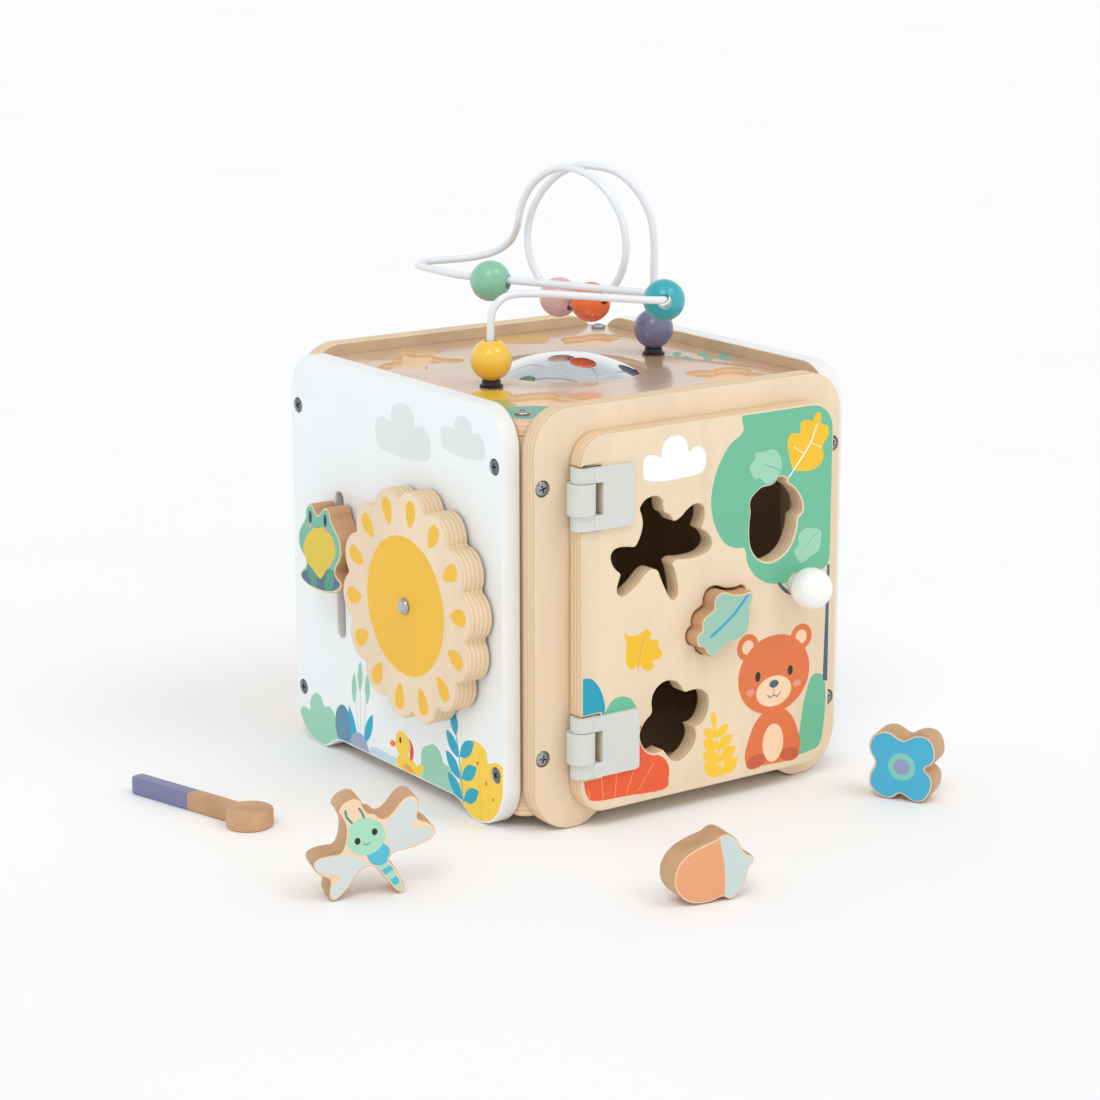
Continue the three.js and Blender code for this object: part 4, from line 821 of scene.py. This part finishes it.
# ---------------------------------------------------------------- sun wheel
pts, k = [], SUN["lobes"]
for i in range(k):
    b = 2 * math.pi * i / k + 0.1
    c = (SUN["cr"] * math.cos(b), SUN["cr"] * math.sin(b))
    for j in range(-9, 10):
        a = b + j * 0.355 / 3
        pts.append((c[0] + SUN["lobe"] * math.cos(a), c[1] + SUN["lobe"] * math.sin(a)))
wheel_out = move(pts, -SUN["y"], SUN["z"])
me = plate_mesh(wheel_out, [circle(-SUN["y"], SUN["z"], 3.4, 40)], 15.0, 1.0)
me.transform(basis((SUN["x0"], 0, 0), NY, Z, NX))
by_normal(me, NX)
o = link("sun_disc", me, "sun", [mat["face_xz"], mat["edge_x"], mat["inside"]])
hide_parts("sun_wheel")
p = [(0, -24), (2.9, -24), (2.9, 0.1), (4.7, 0.1), (5.0, 0.35), (5.0, 0.8), (4.7, 1.6), (4.0, 2.35), (3.0, 2.95), (1.6, 3.3), (0, 3.4)]
lathe("axle_bolt", p, (SUN["x1"] - 0.2, SUN["y"], SUN["z"]), NX, mat["bolt"], "case", 48, "sun_axle")
detail("sun_spacer", mat["black"], 0.2)
detail("sun_nut", mat["steel"], 0.3)

# ---------------------------------------------------------------- frog slider
me = plate_mesh(inset(FROG, 0.05), [], 15.5, 0.9)
me.transform(basis((-126.2, 0, 0), NY, Z, NX))
me = cut(me, [rod_mesh(2.7, (-121.2, 61.5, 137), (-135.2, 61.5, 137), 32)])
by_normal(me, NX)
o = link("frog_shape", me, "frog", [mat["beech_face"], mat["beech"], mat["beech"]])
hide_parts("frog_block")
detail("frog_guide_pin", mat["beech"], 0.3)
detail("frog_retainer", mat["beech"], 0.4)

# ---------------------------------------------------------------- sorting blocks
BLOCK_M = {}


def loose(name, outline, deg, foot, facing, body, node):
    local = turn(centred(inset(outline, 1.0)), deg)
    low = min(local, key=lambda q: q[1])
    local = inset(move(local, -low[0], -low[1]), 0.12)
    a = math.radians(facing)
    n = (math.cos(a), math.sin(a), 0)
    u = (-n[1], n[0], 0)
    uv = Vector(u)
    co = [(v.co - P3((foot[0], foot[1], 0))) * 1000 for v in frame["nodes"][node].data.vertices]
    lo_u, hi_u, hi_z = min(c.dot(uv) for c in co), max(c.dot(uv) for c in co), max(c.z for c in co)
    a0, a1, az = min(q[0] for q in local), max(q[0] for q in local), max(q[1] for q in local)
    ku, kz = (hi_u - lo_u - 0.1) / (a1 - a0), (hi_z - 0.1) / az
    local = [(lo_u + 0.05 + (x - a0) * ku, 0.03 + y * kz) for x, y in local]
    me = plate_mesh(local, [], 17.92, 1.0)
    m0 = basis((foot[0] - n[0] * 17.98, foot[1] - n[1] * 17.98, 0), u, Z, n)
    me.transform(m0)
    by_normal(me, n)
    o = link(name, me, body, [mat["beech_face"], mat["beech"], mat["beech_face"]])
    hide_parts(node)
    BLOCK_M[body] = (basis((foot[0] - n[0] * 0.06, foot[1] - n[1] * 0.06, 0), u, Z, n), local, n)


loose("dragonfly_shape", DRAGONFLY, 12.5, (-261.4, -152.8), -107.0, "dragonfly", "dragonfly_block")
loose("acorn_shape", ACORN, -68.5, (-83.7, -275.4), -100.2, "acorn", "acorn_block")
loose("flower_shape", FLOWER, 24.7, (107.6, -214.4), -150.7, "flower", "flower_block")
me = plate_mesh(inset(move(LEAF, 0, -0.65), 0.02), [], 18.0, 1.0)
me.transform(basis((0, -133.2, 0), X, Z, NY))
by_normal(me, NY)
o = link("leaf_shape", me, "leaf", [mat["beech_face"], mat["beech"], mat["beech_face"]])
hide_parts("leaf_block")

# beater: round-ended stick, painted on its first 48 mm
w, r, L = 5.0, 14.0, 95.0
al = math.degrees(math.asin(w / r))
stick = arc(2, -w + 4, 4, 180, 270)[:] + arc(L, 0, r, 180 + al, 540 - al, 60) + arc(2, w - 4, 4, 90, 180)
clean = []
for q in stick:
    if not clean or math.hypot(q[0] - clean[-1][0], q[1] - clean[-1][1]) > 0.03:
        clean.append(q)
me = plate_mesh(clean, [], 10.5, 1.2)
BM = basis((-262.1, 74, 0), (0.267, -0.9637, 0), (0.9637, 0.267, 0), Z)
inv = BM.inverted()
me.transform(BM)
bm = bmesh.new()
bm.from_mesh(me)
pl = BM @ Vector((0.048, 0, 0))
bmesh.ops.bisect_plane(bm, geom=bm.verts[:] + bm.edges[:] + bm.faces[:], plane_co=pl, plane_no=BM.to_3x3() @ Vector((1, 0, 0)))
bm.to_mesh(me)
bm.free()
for p in me.polygons:
    p.material_index = 1 if (inv @ p.center).x < 0.048 else 0
o = link("beater_stick", me, "beater", [mat["beech"], mat["handle"]])
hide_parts("beater")

# ---------------------------------------------------------------- xylophone on the back
for k in ("upper", "lower"):
    detail(f"xylophone_rail_{k}", mat["post"], 0.8, 3)
for i in range(5):
    detail(f"xylophone_bar_{i + 1}", mat[f"bar{i + 1}"], 0.4, 3)
    x = -56 + 28 * i
    for tag, z in (("a", 124 + 43 - 13 * (x + 72) / 144), ("b", 124 - 43 + 13 * (x + 72) / 144)):
        p = [(0, -4), (1.2, -4), (1.2, 0), (3.0, 0), (3.4, 0.25), (3.4, 0.6), (2.6, 1.0), (0, 1.15)]
        lathe(f"bar_pin_{i + 1}{tag}", [(a, b * 0.2 if b > 0 else b) for a, b in p], (x, 141.40, z), Y, mat["steel"], "case", 32)

# ---------------------------------------------------------------- printed artwork
DOOR_ART = [["white", [[-43.7, 204.3], [-45.1, 211.2], [-44.5, 216.2], [-41.0, 218.3], [-35.6, 217.6], [-32.5, 215.9], [-31.7, 220.9], [-28.7, 225.6], [-23.2, 227.5], [-17.7, 226.6], [-13.8, 222.5], [-12.1, 216.6], [-9.0, 219.1], [-4.2, 218.8], [-0.2, 215.1], [0.2, 209.2], [-1.7, 204.3], [-4.0, 203.1]]], ["green", [[26.7, 232.0], [29.0, 238.5], [71.6, 240.7], [101.7, 242.6], [106.2, 205.0], [98.7, 166.0], [94.1, 134.4], [86.1, 130.9], [74.3, 127.9], [62.6, 127.3], [49.2, 129.1], [39.2, 134.6], [32.4, 143.5], [29.8, 153.4], [24.1, 154.3], [15.9, 157.8], [8.5, 168.0], [4.6, 181.5], [5.7, 194.3], [10.3, 206.7], [18.1, 217.3], [27.7, 223.8]]], ["yellow", [[85.2, 228.7], [87.0, 225.9], [86.7, 221.9], [92.2, 219.3], [92.7, 214.0], [88.3, 207.3], [89.3, 201.8], [86.9, 196.9], [81.1, 194.3], [72.7, 194.5], [66.0, 196.2], [63.9, 201.1], [62.1, 207.9], [61.4, 214.5], [63.8, 218.2], [70.5, 218.0], [71.1, 223.8], [76.9, 225.1], [80.3, 224.0], [82.7, 228.3]]], ["pale", [[36.9, 209.8], [42.6, 209.7], [49.1, 210.6], [53.3, 209.0], [56.7, 203.3], [56.8, 196.8], [55.2, 194.3], [50.4, 191.0], [44.6, 190.5], [41.3, 194.2], [37.2, 194.4], [34.3, 197.7], [33.0, 201.8], [35.4, 204.8], [37.0, 206.5]]], ["pale", [[75.2, 158.6], [81.1, 158.4], [88.0, 156.1], [88.6, 150.0], [86.6, 143.6], [80.7, 141.1], [74.1, 138.0], [70.6, 140.5], [68.0, 146.3], [71.2, 149.8], [71.1, 155.2]]], ["green", [[84.3, 66.3], [92.6, 64.5], [92.2, 25.0], [88.9, 20.0], [82.1, 18.5], [73.5, 18.5], [74.9, 33.7], [77.9, 51.0]]], ["yellow", [[-57.8, 116.1], [-55.0, 113.7], [-48.0, 113.2], [-41.7, 115.4], [-38.6, 112.9], [-39.3, 109.2], [-33.8, 107.6], [-33.0, 103.5], [-30.5, 98.5], [-32.9, 96.3], [-37.6, 95.8], [-36.3, 92.3], [-39.2, 90.2], [-43.1, 91.5], [-47.0, 94.8], [-51.7, 93.0], [-55.6, 95.6], [-56.8, 101.0], [-56.2, 108.7]]], ["teal", [[-94.8, 93.2], [-90.9, 92.6], [-86.5, 93.3], [-81.1, 92.2], [-76.5, 87.5], [-73.4, 81.7], [-71.5, 72.3], [-74.1, 67.5], [-94.8, 70.0]]], ["green", [[-73.3, 66.1], [-70.3, 72.1], [-65.6, 77.1], [-59.4, 78.0], [-53.2, 75.6], [-48.4, 68.1], [-46.8, 58.6], [-51.5, 54.2], [-67.1, 49.2]]], ["orange", [[-85.6, 34.3], [-80.9, 32.8], [-67.0, 34.7], [-53.7, 38.8], [-57.7, 51.4], [-53.4, 57.2], [-46.0, 57.8], [-38.8, 54.5], [-36.9, 47.5], [-38.7, 39.9], [-32.3, 37.4], [-27.5, 33.8], [-24.6, 27.9], [-25.0, 21.3], [-25.7, 16.7], [-57.5, 17.0], [-77.8, 18.1], [-82.4, 19.9], [-85.9, 27.8]]]]
LEFT_ART = [["grey", [[18.2, 217.3], [16.6, 222.6], [10.3, 225.4], [4.1, 225.3], [1.0, 224.1], [0.5, 229.2], [-2.9, 233.7], [-10.6, 236.8], [-18.7, 236.8], [-24.6, 232.3], [-25.9, 224.8], [-29.5, 225.9], [-35.5, 226.4], [-41.0, 222.4], [-43.3, 215.7], [-42.2, 210.0], [-38.1, 207.0], [13.9, 206.2], [16.9, 210.7]]], ["grey", [[-53.7, 227.3], [-55.3, 230.3], [-60.2, 231.9], [-65.1, 231.5], [-67.4, 230.8], [-69.0, 236.4], [-74.9, 240.1], [-81.5, 239.6], [-86.2, 235.1], [-87.1, 231.4], [-91.9, 232.8], [-96.6, 230.9], [-99.4, 226.6], [-99.3, 221.2], [-97.4, 218.5], [-57.1, 217.8], [-54.2, 222.0]]], ["green", [[113.9, 16.6], [110.2, 20.3], [101.8, 20.3], [101.1, 26.2], [95.4, 32.7], [88.3, 32.5], [83.8, 26.7], [77.9, 28.2], [72.2, 25.3], [69.0, 19.2], [66.8, 13.5], [63.6, 8.1], [67.1, 5.9], [74.3, 0.5], [83.7, -2.0], [95.4, 1.0], [107.1, 6.8], [112.9, 11.7]]], ["blue", [[69.9, 25.9], [66.2, 31.4], [60.4, 33.6], [52.6, 28.4], [47.1, 19.8], [50.8, 12.7], [54.4, 6.7], [61.3, 6.2], [69.2, 12.9]]], ["lilac", [[53.7, 7.5], [50.7, 16.4], [43.7, 20.1], [37.0, 19.4], [31.5, 12.8], [28.8, 7.3], [39.6, 6.9]]], ["water", [[29.3, 14.0], [3.8, 15.2], [-22.2, 13.7], [-51.7, 8.6], [-49.5, 5.6], [-17.7, 5.2], [8.4, 6.7], [28.3, 7.4]]], ["mint", [[-28.8, 23.9], [-31.1, 29.9], [-37.5, 32.8], [-43.8, 32.7], [-47.9, 29.0], [-51.9, 21.8], [-52.8, 11.2], [-47.5, 7.4], [-34.8, 7.5], [-29.7, 15.7]]], ["yellow", [[-81.0, 47.3], [-91.1, 48.7], [-99.1, 45.0], [-101.0, 38.6], [-108.9, 41.3], [-117.2, 39.5], [-117.1, 27.9], [-108.6, 8.0], [-96.6, -0.1], [-82.4, -0.6], [-72.3, 3.6], [-70.5, 20.9], [-74.8, 38.6]]]]
T = {"dragonfly": {"head": [[18.5, 35.7], [30.3, 34.4], [18.3, 23.7]], "eyes": [[24.2, 37.7], [14.1, 32.0]], "smile": [[17.8, 32.8], [20.5, 32.1], [22.3, 33.8]], "ant": [[10.4, 41.4], [6.3, 45.5], [4.7, 51.6], [18.6, 45.9], [16.4, 51.0], [12.3, 55.0]], "thorax": [[18.9, 26.0], [21.3, 30.6], [27.2, 30.9], [31.9, 27.0], [31.2, 20.4], [27.1, 17.8], [21.8, 19.4]], "abd": [[25.3, 18.0], [32.4, 19.9], [37.6, 11.7], [39.9, 4.2], [39.3, -0.6], [36.9, -0.4], [32.2, 6.3], [28.2, 11.6]], "s1": [[27.0, 14.8], [33.2, 17.7], [34.7, 15.1], [29.1, 11.8]], "s2": [[31.4, 8.6], [36.7, 11.2], [38.2, 7.4], [34.0, 4.9]], "rw": [[31.0, 42.8], [39.4, 53.9], [45.9, 53.2], [47.6, 43.3], [45.7, 37.5], [57.0, 36.2], [52.1, 28.3], [33.1, 25.6]], "lw": [[-10.4, 23.4], [6.0, 26.3], [20.0, 18.6], [9.1, 4.2], [-0.3, 2.3], [-1.4, 6.6], [3.4, 13.9], [-8.2, 18.3]]}, "acorn": {"body": [[-33.7, 19.6], [-31.9, 27.5], [-26.4, 32.4], [-18.4, 33.5], [-7.8, 34.2], [-3.6, 3.1], [-9.2, 1.1], [-18.0, 1.1], [-28.0, 7.1]], "cap": [[-7.8, 34.2], [-2.2, 36.3], [5.4, 27.5], [10.6, 20.9], [13.7, 21.5], [13.7, 19.2], [10.0, 15.7], [9.5, 9.3], [4.5, 3.0], [-1.7, 1.7], [-3.6, 3.1]]}, "flower": {"petals": [[-1.5, 34.1], [20.1, 34.6], [-1.6, 12.5], [19.5, 12.4]], "c": [[9.3, 22.0]], "ext": [[-11.8, 46.2], [34.6, 2.8]]}, "frog": {"belly": [[77.4, 133.0], [72.6, 142.3], [57.4, 151.1], [42.8, 147.4], [38.8, 138.1], [43.3, 130.8], [50.5, 124.6], [57.3, 118.1], [66.3, 122.2], [74.2, 126.2]], "eyes": [[68.1, 156.2], [50.4, 157.1]], "cheeks": [[70.1, 150.5], [48.7, 151.7]], "smile": [[62.1, 152.7], [59.5, 152.7], [56.6, 153.1]], "pad": [[81.8, 114.3], [73.5, 120.7], [57.5, 124.8], [40.1, 125.9], [32.5, 122.0], [38.7, 115.6], [54.5, 110.3], [72.2, 108.8]]}, "top": {"yellow": [[-88.6, -32.9], [-70.2, -41.7], [-85.7, -64.5], [-96.2, -59.2]], "olive": [[-96.9, -61.8], [-84.4, -65.5], [-103.5, -97.8], [-108.2, -97.5]], "teal": [[-97.6, -84.9], [-77.4, -93.1], [-96.8, -119.4], [-114.6, -112.7]], "ochre": [[25.9, 112.5], [56.5, 101.3], [39.5, 77.0], [20.4, 88.1]], "frond": [[79.3, -1.0], [94.1, -5.4], [98.2, -20.5], [113.0, -24.9], [100.5, -37.8], [85.0, -31.6], [72.9, -18.2]], "ring": [[107.4, -54.7], [119.0, -62.8], [108.6, -75.5], [97.2, -67.4]], "orange": [[-44.3, -70.7], [-29.8, -77.8], [-38.1, -89.9], [-53.2, -87.6]]}}

door_clip = inset(arc(80, 28, 17, -90, 0) + arc(80, 217.5, 17, 0, 90) + arc(-71.3, 217.5, 17, 90, 180) + arc(-71.3, 28, 17, 180, 270), 1.15)
for z in HINGE_Z:
    holes = holes + [[(-95, z - 20), (-73.4, z - 20), (-73.4, z + 20), (-95, z + 20)]]
clip_holes = [inset(h, -1.1) for h in holes[:4]] + holes[4:] + [circle(69.6, 126, 6.9)]
arts = [(c, smooth(p, 5)) for c, p in DOOR_ART if c != "yellow" and c != "pale"]
arts = [a for a in arts if a[0] != "orange"] + [a for a in arts if a[0] == "orange"]
# tree: trunk and branch behind the crown's leaves
arts.append(("slate", [(94.0, 134), (96.5, 134), (97, 60), (92.2, 62), (93.2, 100)]))
arts.append(("slate", stroke([(56, 128.5), (62, 122.5), (76, 117), (94, 112)], 2.2)))
arts += [(c, smooth(p, 5)) for c, p in DOOR_ART if c in ("yellow", "pale")]
arts += [("white", stroke([(84, 222), (79, 211), (70, 200), (62, 191)], 0.9)), ("white", stroke([(79, 211), (88, 207)], 0.6)), ("white", stroke([(74, 205), (66, 210)], 0.6))]
arts += [("green", stroke([(43.6, 202), (52.7, 198.6), (60, 194.2)], 0.8)), ("green", stroke([(89.6, 158.5), (76.3, 147.5)], 0.8))]
arts += [("ochre", stroke([(-43, 112), (-46, 104), (-48, 91)], 0.7))]
for a, b in (((-48.2, 37.7), (-55.9, 18.0)), ((-63.1, 32.6), (-63.8, 18.2)), ((-74.0, 32.8), (-72.4, 18.6)), ((-41.8, 25.9), (-47.3, 18.3)), ((-83.2, 26.0), (-81.7, 20.4)), ((-36, 33), (-41, 27))):
    arts.append(("streak", stroke([a, b], 0.9)))
arts.append(("fern", stroke([(14.5, 14.5), (12.5, 30), (8.6, 50)], 1.3)))
for i, (t, s, w) in enumerate(((0.06, 16, 8.8), (0.29, 15, 8.2), (0.52, 13.5, 7.4), (0.74, 11.5, 6.4))):
    x, y = 14.5 - 5.9 * t, 14.5 + 35.5 * t
    for d in (-1, 1):
        arts.append(("fern", petal(x, y, x + d * s * 0.82, y + s * 0.52, w)))
arts.append(("fern", petal(9.2, 46, 7.4, 57, 4.6)))
# a plain seated bear cub, drawn from ellipses
cx = 54.0
arts += [
    ("fur", smooth([(42, 16.5), (35, 17), (32.5, 24), (35, 34), (40, 44), (48, 50), (60, 50), (68, 44), (73, 34), (75.5, 24), (73, 17), (64, 15.5)], 6)),
    ("cream", ellipse(cx, 29, 8.0, 12.0)), ("fur2", ellipse(41, 19.5, 7.5, 4.4, 8)), ("fur2", ellipse(67, 19.5, 7.5, 4.4, -8)),
    ("fur", ellipse(33.5, 92, 8.2, 8.2)), ("fur", ellipse(74.5, 92, 8.2, 8.2)), ("cream", ellipse(33.5, 92, 4.4, 4.4)), ("cream", ellipse(74.5, 92, 4.4, 4.4)),
    ("fur", ellipse(cx, 72, 27.5, 24.5, 0, 64)), ("cream", ellipse(cx, 61.5, 13.5, 9.5)),
    ("dark", ellipse(41.5, 72.5, 2.0, 3.1)), ("dark", ellipse(66.5, 72.5, 2.0, 3.1)), ("slate", ellipse(cx, 66, 3.6, 2.4)),
    ("slate", stroke([(cx, 63.8), (cx, 59.5)], 0.7)), ("slate", stroke([(49, 60), (51.5, 57.8), (54, 59), (56.5, 57.8), (59, 60)], 0.7)),
    ("rose", ellipse(36, 63.5, 3.2, 2.2)), ("rose", ellipse(72, 63.5, 3.2, 2.2)),
]
o = printed("door_print", door_clip, clip_holes, arts, basis((0, -142.4, 0), X, Z, NY), "door")

# left panel, u = -y
neg = lambda p: [(-a, b) for a, b in p]
lc = inset(panel_outline(117.5), 1.3)
lh = [inset(slot_hole, -1.2), circle(39, 122, 4.6)] + [circle(-u, v, 5.0) for u, v in SIDE_SCREWS]
arts = [(c, neg(smooth(p, 6))) for c, p in LEFT_ART if c in ("grey", "water")]
arts += [("mint", neg(smooth(p, 6))) for c, p in LEFT_ART if c == "green"]
arts += [("mint", ellipse(43, 14, 13, 21)), ("mint", ellipse(56, 10, 11, 16))]
for x0, z0, x1, z1, k in ((-43, 22, -47.5, 52, -13), (-40.3, 22, -40.2, 61, -13), (-37, 22, -31.8, 55, -13)):
    arts.append(("mint", stroke([(x0, z0), (x1, z1)], 0.7)))
    arts.append(("mint", petal(x1 - 0.3, z1 - 14, x1 + 0.6, z1 + 6, 5.8)))
arts += [("blue", neg(smooth(p, 6))) for c, p in LEFT_ART if c == "blue"]
arts += [("cyan", petal(-45, 9, -54, 35, 7.0)), ("cyan", petal(-36, 15, -26, 36, 7.5))]
arts += [(c, neg(smooth(p, 6))) for c, p in LEFT_ART if c in ("lilac", "mint")]
arts += [("duck", neg(smooth(p, 6))) for c, p in LEFT_ART if c == "yellow"]
for a, b in (((92, 44), (93, 2)), ((104, 40), (101, 6))):
    arts.append(("streak", stroke([a, b], 0.6)))
arts += [("red", ellipse(99, 26, 0.9, 1.3)), ("red", ellipse(90, 36, 0.9, 1.3)), ("red", ellipse(106, 18, 0.9, 1.3))]
arts.append(("cyan", stroke([(75, 5), (73, 20), (70, 36), (67, 50)], 0.9)))
for x0, z0, x1, z1, w in ((74, 9, 58, 22, 9), (75, 9, 91, 19, 9), (72, 21, 56, 35, 9), (73, 22, 89, 33, 9), (70, 34, 57, 48, 8.5), (71, 35, 86, 48, 9), (67, 47, 64, 62, 8)):
    arts.append(("cyan", petal(x0, z0, x1, z1, w)))
# a plain duckling of two ellipses
arts += [("duck", ellipse(14, 12, 13, 8.0, -10)), ("duck", ellipse(8, 26, 8.2, 8.2)), ("beak", petal(0.5, 24.6, -6.5, 22.8, 4.0)), ("dark", ellipse(5.6, 28, 1.3, 1.9)),
         ("red", smooth([(15.2, 31.5), (19.5, 28), (20.3, 21.5), (17.2, 17.5), (16.2, 22), (16.8, 27)], 5)), ("streak", petal(8, 13, 22, 10, 6.0)), ("duck", petal(22, 12, 32, 18, 6))]
o = printed("side_print", lc, lh, arts, basis((-125, 0, 0), NY, Z, NX), "case")

# wheel face
wa = [("sun", circle(39, 122, 42.0, 96))]
for i in range(14):
    b = 2 * math.pi * i / 14 + 0.1
    wa.append(("sun", drop(39 + 57.0 * math.cos(b), 122 + 57.0 * math.sin(b), 8.2, 4.9, math.degrees(b))))
printed("sun_print", inset(wheel_out, 1.2), [circle(39, 122, 5.3)], wa, basis((-141.6, 0, 0), NY, Z, NX), "sun")

# frog face, u = -y
F = {k: neg([tuple(q) for q in v]) for k, v in T["frog"].items()}
fa = [("frog", inset(FROG, 1.3)), ("pad", smooth(F["pad"], 6)), ("frog2", ellipse(-67, 119, 5.2, 8.5, 24)), ("frog2", ellipse(-47, 119, 5.2, 8.5, -24)),
      ("belly", smooth(F["belly"], 6))]
for x, z in ((-68.1, 155.6), (-50.4, 156.6)):
    fa += [("dark", ellipse(x, z - 0.6, 1.9, 4.0))]
fa += [("rose", ellipse(-69.3, 149.2, 2.2, 1.3)), ("rose", ellipse(-48.8, 150.0, 2.2, 1.3)), ("slate", stroke([(-62.5, 151.2), (-59.5, 149.8), (-56.5, 151.4)], 0.7))]
printed("frog_print", inset(FROG, 1.25), [], fa, basis((-141.7, 0, 0), NY, Z, NX), "frog")

# leaf in the door
ll = inset(move(LEAF, 0, -0.65), 1.15)
la = [("leafg", ll), ("vein", stroke([(-2, 106), (8, 112), (18, 119.5), (26.5, 128.5)], 1.9)), ]
printed("leaf_print", ll, [], la, basis((0, -151.2, 0), X, Z, NY), "leaf")

# dragonfly, acorn and flower faces
mtx, loc, n = BLOCK_M["dragonfly"]
D = T["dragonfly"]
da = [("wing", smooth(D["rw"], 6)), ("wing", smooth(D["lw"], 6)), ("body", smooth(D["abd"], 6)), ("bluea", D["s1"]), ("bluea", D["s2"]), ("bluea", smooth(D["thorax"], 6)),
      ("frog2", stroke([(12.0, 43.0), (8.6, 47.0), (7.6, 51.5)], 1.3)), ("frog2", stroke([(18.4, 44.0), (17.2, 48.4), (15.0, 52.0)], 1.3)), ("body", ellipse(18.6, 35.2, 11.2, 10.6)),
      ("dark", ellipse(23.8, 37.4, 1.6, 2.0)), ("dark", ellipse(14.2, 33.0, 1.6, 2.0)), ("frog2", stroke([(17.4, 31.4), (19.4, 30.4), (21.4, 31.8)], 0.6))]
printed("dragonfly_print", inset(loc, 1.25), [], da, mtx, "dragonfly")
mtx, loc, n = BLOCK_M["acorn"]
A0 = T["acorn"]
# the cup joins the nut along a gentle curve
xs = [q[0] for q in loc]
aa = [("acorn", inset(loc, 1.15)), ("cap", [(-7.4, 60), (-6.6, 34), (-4.4, 24), (-3.4, 14), (-3.6, 4), (-3.2, -20), (60, -20), (60, 60)])]
printed("acorn_print", inset(loc, 1.15), [], aa, mtx, "acorn")
mtx, loc, n = BLOCK_M["flower"]
xs, ys = [q[0] for q in loc], [q[1] for q in loc]
fx, fz = (min(xs) + max(xs)) / 2, (min(ys) + max(ys)) / 2
fl = [("fblue", inset(loc, 1.15))]
for i in range(4):
    b = math.radians(24.7 + 45 + 90 * i)
    for j, (rr, da_) in enumerate(((14.5, 0), (12.0, 17), (12.0, -17), (16.8, 12), (16.8, -12))):
        a = b + math.radians(da_)
        fl.append(("dots", ellipse(fx + rr * math.cos(a), fz + rr * math.sin(a), 0.65, 0.65, 0, 14)))
fl += [("ring", circle(fx, fz, 8.5, 60)), ("mid", circle(fx, fz, 5.0, 48))]
printed("flower_print", inset(loc, 1.15), [], fl, mtx, "flower")

# top board
tc = inset(rrect(-112.8, 112.8, -117.8, 117.8, 9), 1.0)
th = [inset(p, -0.5) for p in pockets] + [circle(*MIRROR, 50.6, 96)] + [circle(x, y, 7.4) for x, y in COLLARS] + [circle(x, y, 5.4) for x, y in TOP_SCREWS]
ta = [("tyellow", smooth(T["top"]["yellow"], 8)), ("olive", smooth(T["top"]["olive"], 8)), ("tteal", smooth(T["top"]["teal"], 8)), ("ochre", smooth(T["top"]["ochre"], 8)), ("torange", smooth(T["top"]["orange"], 8))]
ta.append(("tteal", stroke([(76, -8), (92, -18), (112, -30)], 1.4)))
for x0, y0, x1, y1 in ((80, -10, 90, 2), (84, -13, 78, -27), (92, -18, 104, -8), (95, -20, 88, -34), (103, -25, 113, -16), (104, -26, 98, -39)):
    ta.append(("tteal", petal(x0, y0, x1, y1, 6)))
ta += [("tpink", circle(108, -65, 6.5))]
th.append(circle(108, -65, 4.4))
printed("top_print", tc, th, ta, basis((0, 0, TOP_Z1), X, Y, Z), "case", 0.05)

# ---------------------------------------------------------------- floor, light and camera
bm = bmesh.new()
bmesh.ops.create_grid(bm, x_segments=1, y_segments=1, size=60)
me = bpy.data.meshes.new("floor")
bm.to_mesh(me)
bm.free()
floor = bpy.data.objects.new("floor", me)
bpy.context.scene.collection.objects.link(floor)
fm = M("floor_paper", rough=0.9, spec=0.1)
fm.color(fm.ramp(fm.noise(3, detail=1), [(0.3, (0.965, 0.965, 0.967, 1)), (0.7, (0.98, 0.98, 0.982, 1))]))
me.materials.append(fm.m)
floor.location = (0, 0, -0.0002)

world = bpy.data.worlds.new("studio")
bpy.context.scene.world = world
world.use_nodes = True
wn, wl = world.node_tree.nodes, world.node_tree.links
wt, ws, wr = wn.new("ShaderNodeTexCoord"), wn.new("ShaderNodeSeparateXYZ"), wn.new("ShaderNodeValToRGB")
wl.new(wt.outputs["Generated"], ws.inputs[0])
wl.new(ws.outputs[2], wr.inputs["Fac"])
wr.color_ramp.elements[0].position, wr.color_ramp.elements[0].color = 0.30, (1, 1, 1, 1)
wr.color_ramp.elements[1].position, wr.color_ramp.elements[1].color = 0.62, (0.66, 0.67, 0.68, 1)
wl.new(wr.outputs["Color"], wn["Background"].inputs[0])
world.node_tree.nodes["Background"].inputs[1].default_value = 1.0


def lamp(name, towards, angle, strength):
    """A far soft box: even light from one direction, spread over an angle."""
    d = bpy.data.lights.new(name, "SUN")
    d.angle, d.energy = math.radians(angle), strength
    o = bpy.data.objects.new(name, d)
    bpy.context.scene.collection.objects.link(o)
    o.rotation_mode = "QUATERNION"
    o.rotation_quaternion = (-Vector(towards)).to_track_quat("-Z", "Y")
    return o


lamp("key", (-1.1, -0.9, 1.9), 26, 0.62)
lamp("second", (0.7, -1.3, 2.0), 26, 0.42)

cam = bpy.data.cameras.new("camera")
cam.sensor_width, cam.lens = 36.0, 2968.453 / 1100 * 36
cam.shift_x, cam.shift_y = -13.376 / 1100, -38.173 / 1100
cam.clip_start, cam.clip_end = 0.05, 50
co = bpy.data.objects.new("camera", cam)
bpy.context.scene.collection.objects.link(co)
az, el = math.radians(-35.314), math.radians(13.412)
back = Vector((math.sin(az) * math.cos(el), -math.cos(az) * math.cos(el), math.sin(el)))
right = (-back).cross(Vector((0, 0, 1))).normalized()
up_ = right.cross(-back)
co.matrix_world = Matrix(((right.x, up_.x, back.x, 0), (right.y, up_.y, back.y, 0), (right.z, up_.z, back.z, 0), (0, 0, 0, 1)))
co.location = P3((-1037.264, -1464.246, 579.740))
bpy.context.scene.camera = co
bpy.context.scene.view_settings.view_transform = "Standard"
